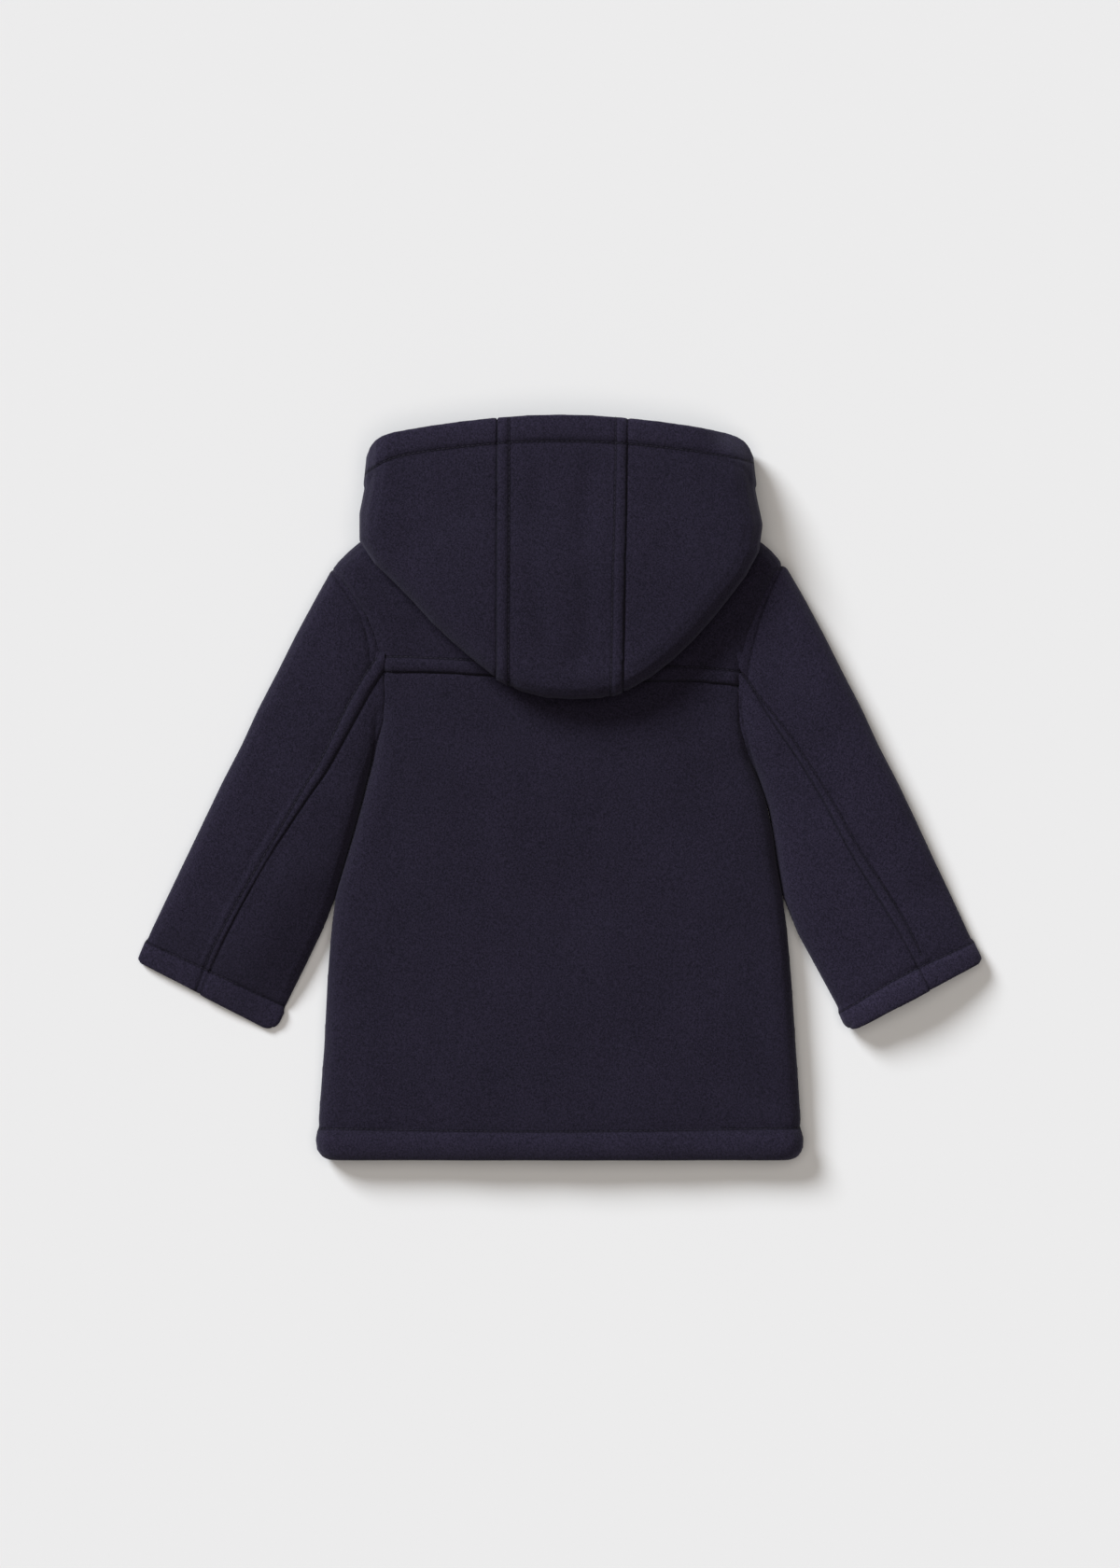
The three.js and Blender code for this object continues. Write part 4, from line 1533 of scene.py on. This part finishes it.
@dataclass
class Hood:
    """The hood: two sides and the gusset between them, spread over the back.

    Attributes:
        left_cut: Cut of the left side.
        centre_cut: Cut of the gusset.
        right_cut: Cut of the right side.
        voxel: Size of its mesh cells, in millimetres.
        strip: Rise, half width and least height of the padded strips, in millimetres.
        face_row: The stitches behind the face's hem.
        left_row: The stitches along the gusset's left seam.
        right_row: The stitches along its right seam.
        left_seam: The seam between the left side and the gusset.
        right_seam: The seam between the gusset and the right side.
        face_band: The middle of the face's turned hem.
        creases: The flatter corner, the raised tip and the soft creases.
    """

    left_cut: Cut = Cut((0.130, 0.260), 0.0255)
    centre_cut: Cut = Cut((0.090, 0.340), 0.0262)
    right_cut: Cut = Cut((0.130, 0.260), 0.0265)
    voxel: float = 1.35
    strip: tuple[float, float, float] = (0.8, 3.8, 20.0)
    face_row: Line = (
        (-131, 206.5),
        (-126, 210),
        (-111, 218.5),
        (-80, 223.5),
        (-37, 228),
        (0, 229),
        (37, 228),
        (80, 223.5),
        (111, 219),
        (126, 216),
        (131, 214.5),
    )
    left_row: Line = ((-33.6, 262), (-33.5, 200), (-33.8, 130), (-34.0, 80), (-34.0, 50))
    right_row: Line = ((36.8, 262), (36.4, 200), (34.4, 130), (33.6, 80), (33.1, 50))
    left_seam: Line = ((-41.5, 262), (-42, 48))
    right_seam: Line = ((45, 262), (41, 48))
    face_band: Line = (
        (-126, 220),
        (-112, 230),
        (-80, 235.5),
        (-37, 239.5),
        (0, 241),
        (37, 239.5),
        (80, 235.5),
        (112, 229),
        (126, 222),
    )
    creases: tuple[Crease | Settling, ...] = (
        Settling(((116, 240), (138, 226)), 0.5, 15.0),
        Crease(((-50, 68), (0, 58), (46, 66)), 4.5, 22.0, 34.0),
        Crease(((19, 205), (16, 165), (19, 120), (15, 88)), -1.9, 9.0, 30.0),
        Crease(((-14, 200), (-17, 150), (-12, 100)), -0.9, 8.0, 30.0),
        Crease(((-70, 180), (-92, 165), (-108, 150)), -1.0, 12.0, 26.0),
        Crease(((72, 190), (90, 168), (112, 158)), -0.9, 12.0, 26.0),
    )

    def build(
        self, cloth: bpy.types.Material, thread: bpy.types.Material
    ) -> list[bpy.types.Object]:
        """Builds the hood's three panels and their stitches.

        Args:
            cloth: The felt's material.
            thread: The thread's material.

        Returns:
            The finished pieces.
        """
        face, left, right = (stitched(r) for r in (self.face_row, self.left_row, self.right_row))
        partings, band = (seam(self.left_seam), seam(self.right_seam)), banded(self.face_band)
        strips = (
            padded_strip(self.left_row, self.left_seam, *self.strip),
            padded_strip(self.right_row, self.right_seam, *self.strip),
        )
        shared = {
            "slot": Slot.HOOD,
            "rests_on": ("back_yoke", "back_panel"),
            "voxel": self.voxel,
            "creases": strips + self.creases,
        }
        gusset_rows = (face, left, right, *partings, band)
        panels = [
            ClothPanel("hood_left", cut=self.left_cut, rows=(face, partings[0], band), **shared),
            ClothPanel("hood_centre", cut=self.centre_cut, rows=gusset_rows, **shared),
            ClothPanel("hood_right", cut=self.right_cut, rows=(face, partings[1], band), **shared),
        ]
        for panel in panels:
            panel.build(cloth)
        pieces = [panel.piece for panel in panels]
        face_thread = ThreadRow("hood_face_stitches", Slot.HOOD).build(pieces, [face.line], thread)
        gusset = ThreadRow("hood_gusset_stitches", Slot.HOOD)
        gusset_thread = gusset.build([pieces[1]], [left.line, right.line], thread)
        panels[0].declare([])
        panels[1].declare([gusset_thread, face_thread])
        panels[2].declare([])
        return [*pieces, face_thread, gusset_thread]


@dataclass(frozen=True)
class SoftLight:
    """A wide, even light from far away.

    Attributes:
        name: Its name.
        strength: How bright it is.
        spread: How wide it looks from the coat, in degrees.
        aim: The direction in which it shines.
        colour: Its colour.
    """

    name: str
    strength: float
    spread: float
    aim: tuple[float, float, float]
    colour: Colour

    def build(self) -> None:
        """Hangs the light."""
        light = bpy.data.lights.new(self.name, "SUN")
        light.angle = math.radians(self.spread)
        light.energy = self.strength
        light.color = self.colour
        lamp = bpy.data.objects.new(self.name, light)
        lamp.rotation_euler = Vector(self.aim).to_track_quat("-Z", "Y").to_euler()
        bpy.context.scene.collection.objects.link(lamp)


@dataclass
class Studio:
    """The floor, the soft lights and the camera straight above the coat.

    Attributes:
        floor_half: Half of the floor's width, in metres.
        height: Height of the camera, in metres.
        view_length: Length of the floor that is in view, in metres.
        view_middle: The place in the middle of the view, in metres.
        sensor: Length of the camera's sensor, in millimetres.
        key: The light that casts the shadows.
        overhead: The wide light from above.
        room_colour: Colour of the room's light.
        room: How bright the room's light is.
    """

    floor_half: float = 30.0
    height: float = 5.6
    view_length: float = 1.0416
    view_middle: tuple[float, float] = (0.0, 0.0028)
    sensor: float = 36.0
    key: SoftLight = SoftLight("key", 3.43, 22.0, (1.04, -1.1, -1.0), (0.965, 1.0, 1.035))
    overhead: SoftLight = SoftLight("overhead", 1.19, 55.0, (0.0, 0.0, -1.0), (1.07, 1.0, 0.925))
    room_colour: Colour = (1.07, 1.0, 0.925)
    room: float = 0.075

    def build(self) -> None:
        """Sets up the floor, the lights, the surroundings and the camera."""
        bpy.context.scene.view_settings.view_transform = "Standard"
        self._floor()
        self.key.build()
        self.overhead.build()
        self._surroundings()
        self._camera()

    def _floor(self) -> None:
        """Lays a large plain surface under the coat."""
        half = self.floor_half
        mesh = bpy.data.meshes.new("floor")
        corners = [(-half, -half, 0), (half, -half, 0), (half, half, 0), (-half, half, 0)]
        mesh.from_pydata(corners, [], [(0, 1, 2, 3)])
        mesh.materials.append(FloorFinish().material())
        floor = bpy.data.objects.new("floor", mesh)
        bpy.context.scene.collection.objects.link(floor)

    def _surroundings(self) -> None:
        """Gives the even light of a white room."""
        world = bpy.data.worlds.new("room")
        world.use_nodes = True
        background = world.node_tree.nodes["Background"]
        background.inputs["Color"].default_value = (*self.room_colour, 1.0)
        background.inputs["Strength"].default_value = self.room
        bpy.context.scene.world = world

    def _camera(self) -> None:
        """Puts the camera straight above, with +Y up in the view."""
        lens = bpy.data.cameras.new("camera")
        lens.sensor_width = self.sensor
        lens.lens = self.sensor * self.height / self.view_length
        lens.clip_end = 50.0
        camera = bpy.data.objects.new("camera", lens)
        camera.location = (*self.view_middle, self.height)
        bpy.context.scene.collection.objects.link(camera)
        bpy.context.scene.camera = camera


# --------------------------------------------------------------------------- the coat

LEFT_SLEEVE = Sleeve(
    Side.LEFT,
    back_row=(
        (-122, 86),
        (-130, 74),
        (-140, 57),
        (-149, 38),
        (-159, 17),
        (-170, 0),
        (-189, -33),
        (-204, -58),
        (-221, -88),
        (-234, -113.5),
        (-242, -135),
        (-246, -146),
    ),
    back_seam=(
        (-110, 88),
        (-124, 66),
        (-136, 44),
        (-155, 10),
        (-172, -14),
        (-189, -40),
        (-215, -85),
        (-232, -121),
        (-246, -152),
    ),
    cuff_row=((-282, -98.4), (-272, -103), (-185, -143.5), (-178, -147)),
    armhole=Body.armholes[0],
    body_edge=((-121.5, 50), (-124, 19), (-130, -6), (-136, -28), (-143, -52), (-148, -71)),
    cuff_band=((-279, -107), (-187, -153)),
    creases=(
        Crease(((-196, 40), (-176, 22), (-150, 12)), -0.9, 13.0, 10.0),
        Crease(((-232, -30), (-210, -44), (-188, -46)), -0.7, 12.0, 10.0),
        Settling(((-281, -116), (-200, -158)), 0.66, 32.0),
        Settling(((-150, -84), (-190, -156)), 0.4, 26.0),
    ),
    corners=(
        RoundedCorner((-189.6, -162.4), (-279.6, -116.5), (-176, -135), 9.0),
        RoundedCorner((-281.2, -115.4), (-189.6, -162), (-271, -93), 4.0),
    ),
)
RIGHT_SLEEVE = Sleeve(
    Side.RIGHT,
    back_row=(
        (121, 76),
        (133, 59),
        (152, 36),
        (169, 10),
        (182, -11),
        (197, -39),
        (216, -67),
        (231, -92),
        (239, -110),
    ),
    back_seam=(
        (113, 86),
        (127, 66),
        (137, 49),
        (159, 17),
        (176, -11),
        (191, -41),
        (208, -68.5),
        (225, -96),
        (251, -145),
    ),
    cuff_row=((282, -98.4), (272, -103), (225, -124), (188.5, -147), (180, -151)),
    armhole=Body.armholes[1],
    body_edge=((119.5, 60), (120.3, 46), (125.2, 24), (132.4, 4), (137.6, -12), (148, -71)),
    cuff_band=((279, -107), (190, -154)),
    creases=(
        Crease(((196, 44), (178, 30), (156, 20)), -0.8, 12.0, 10.0),
        Crease(((236, -22), (214, -40), (190, -48)), -0.9, 13.0, 10.0),
        Settling(((284, -118), (262, -70)), 0.3, 24.0),
    ),
    corners=(
        RoundedCorner((191, -162.4), (279.6, -116.5), (178, -135), 8.0),
        RoundedCorner((281.2, -115.4), (192, -162), (271, -93), 5.0),
    ),
)


def main() -> None:
    """Builds the coat, its stitches and the studio."""
    logging.basicConfig(level=logging.INFO, format="%(name)s: %(message)s")
    Studio().build()
    thread = ThreadFinish().material()
    # Lit and shaded copies of one felt: painted light makes the right sleeve's copy lighter and the
    # body's a little darker, as the light falls on them.
    body_felt = FeltFinish("felt_body", painted_light_factor=0.97).material()
    left_felt = FeltFinish("felt_left_sleeve").material()
    right_felt = FeltFinish("felt_right_sleeve", painted_light_factor=1.2).material()
    hood_felt = FeltFinish("felt_hood", painted_light_factor=1.01).material()
    for part, felt in (
        (Body(), body_felt),
        (LEFT_SLEEVE, left_felt),
        (RIGHT_SLEEVE, right_felt),
        (Hood(), hood_felt),
    ):
        for piece in part.build(felt, thread):
            LOG.info("%s has %d faces", piece.name, len(piece.data.polygons))


if __name__ == "__main__":
    main()
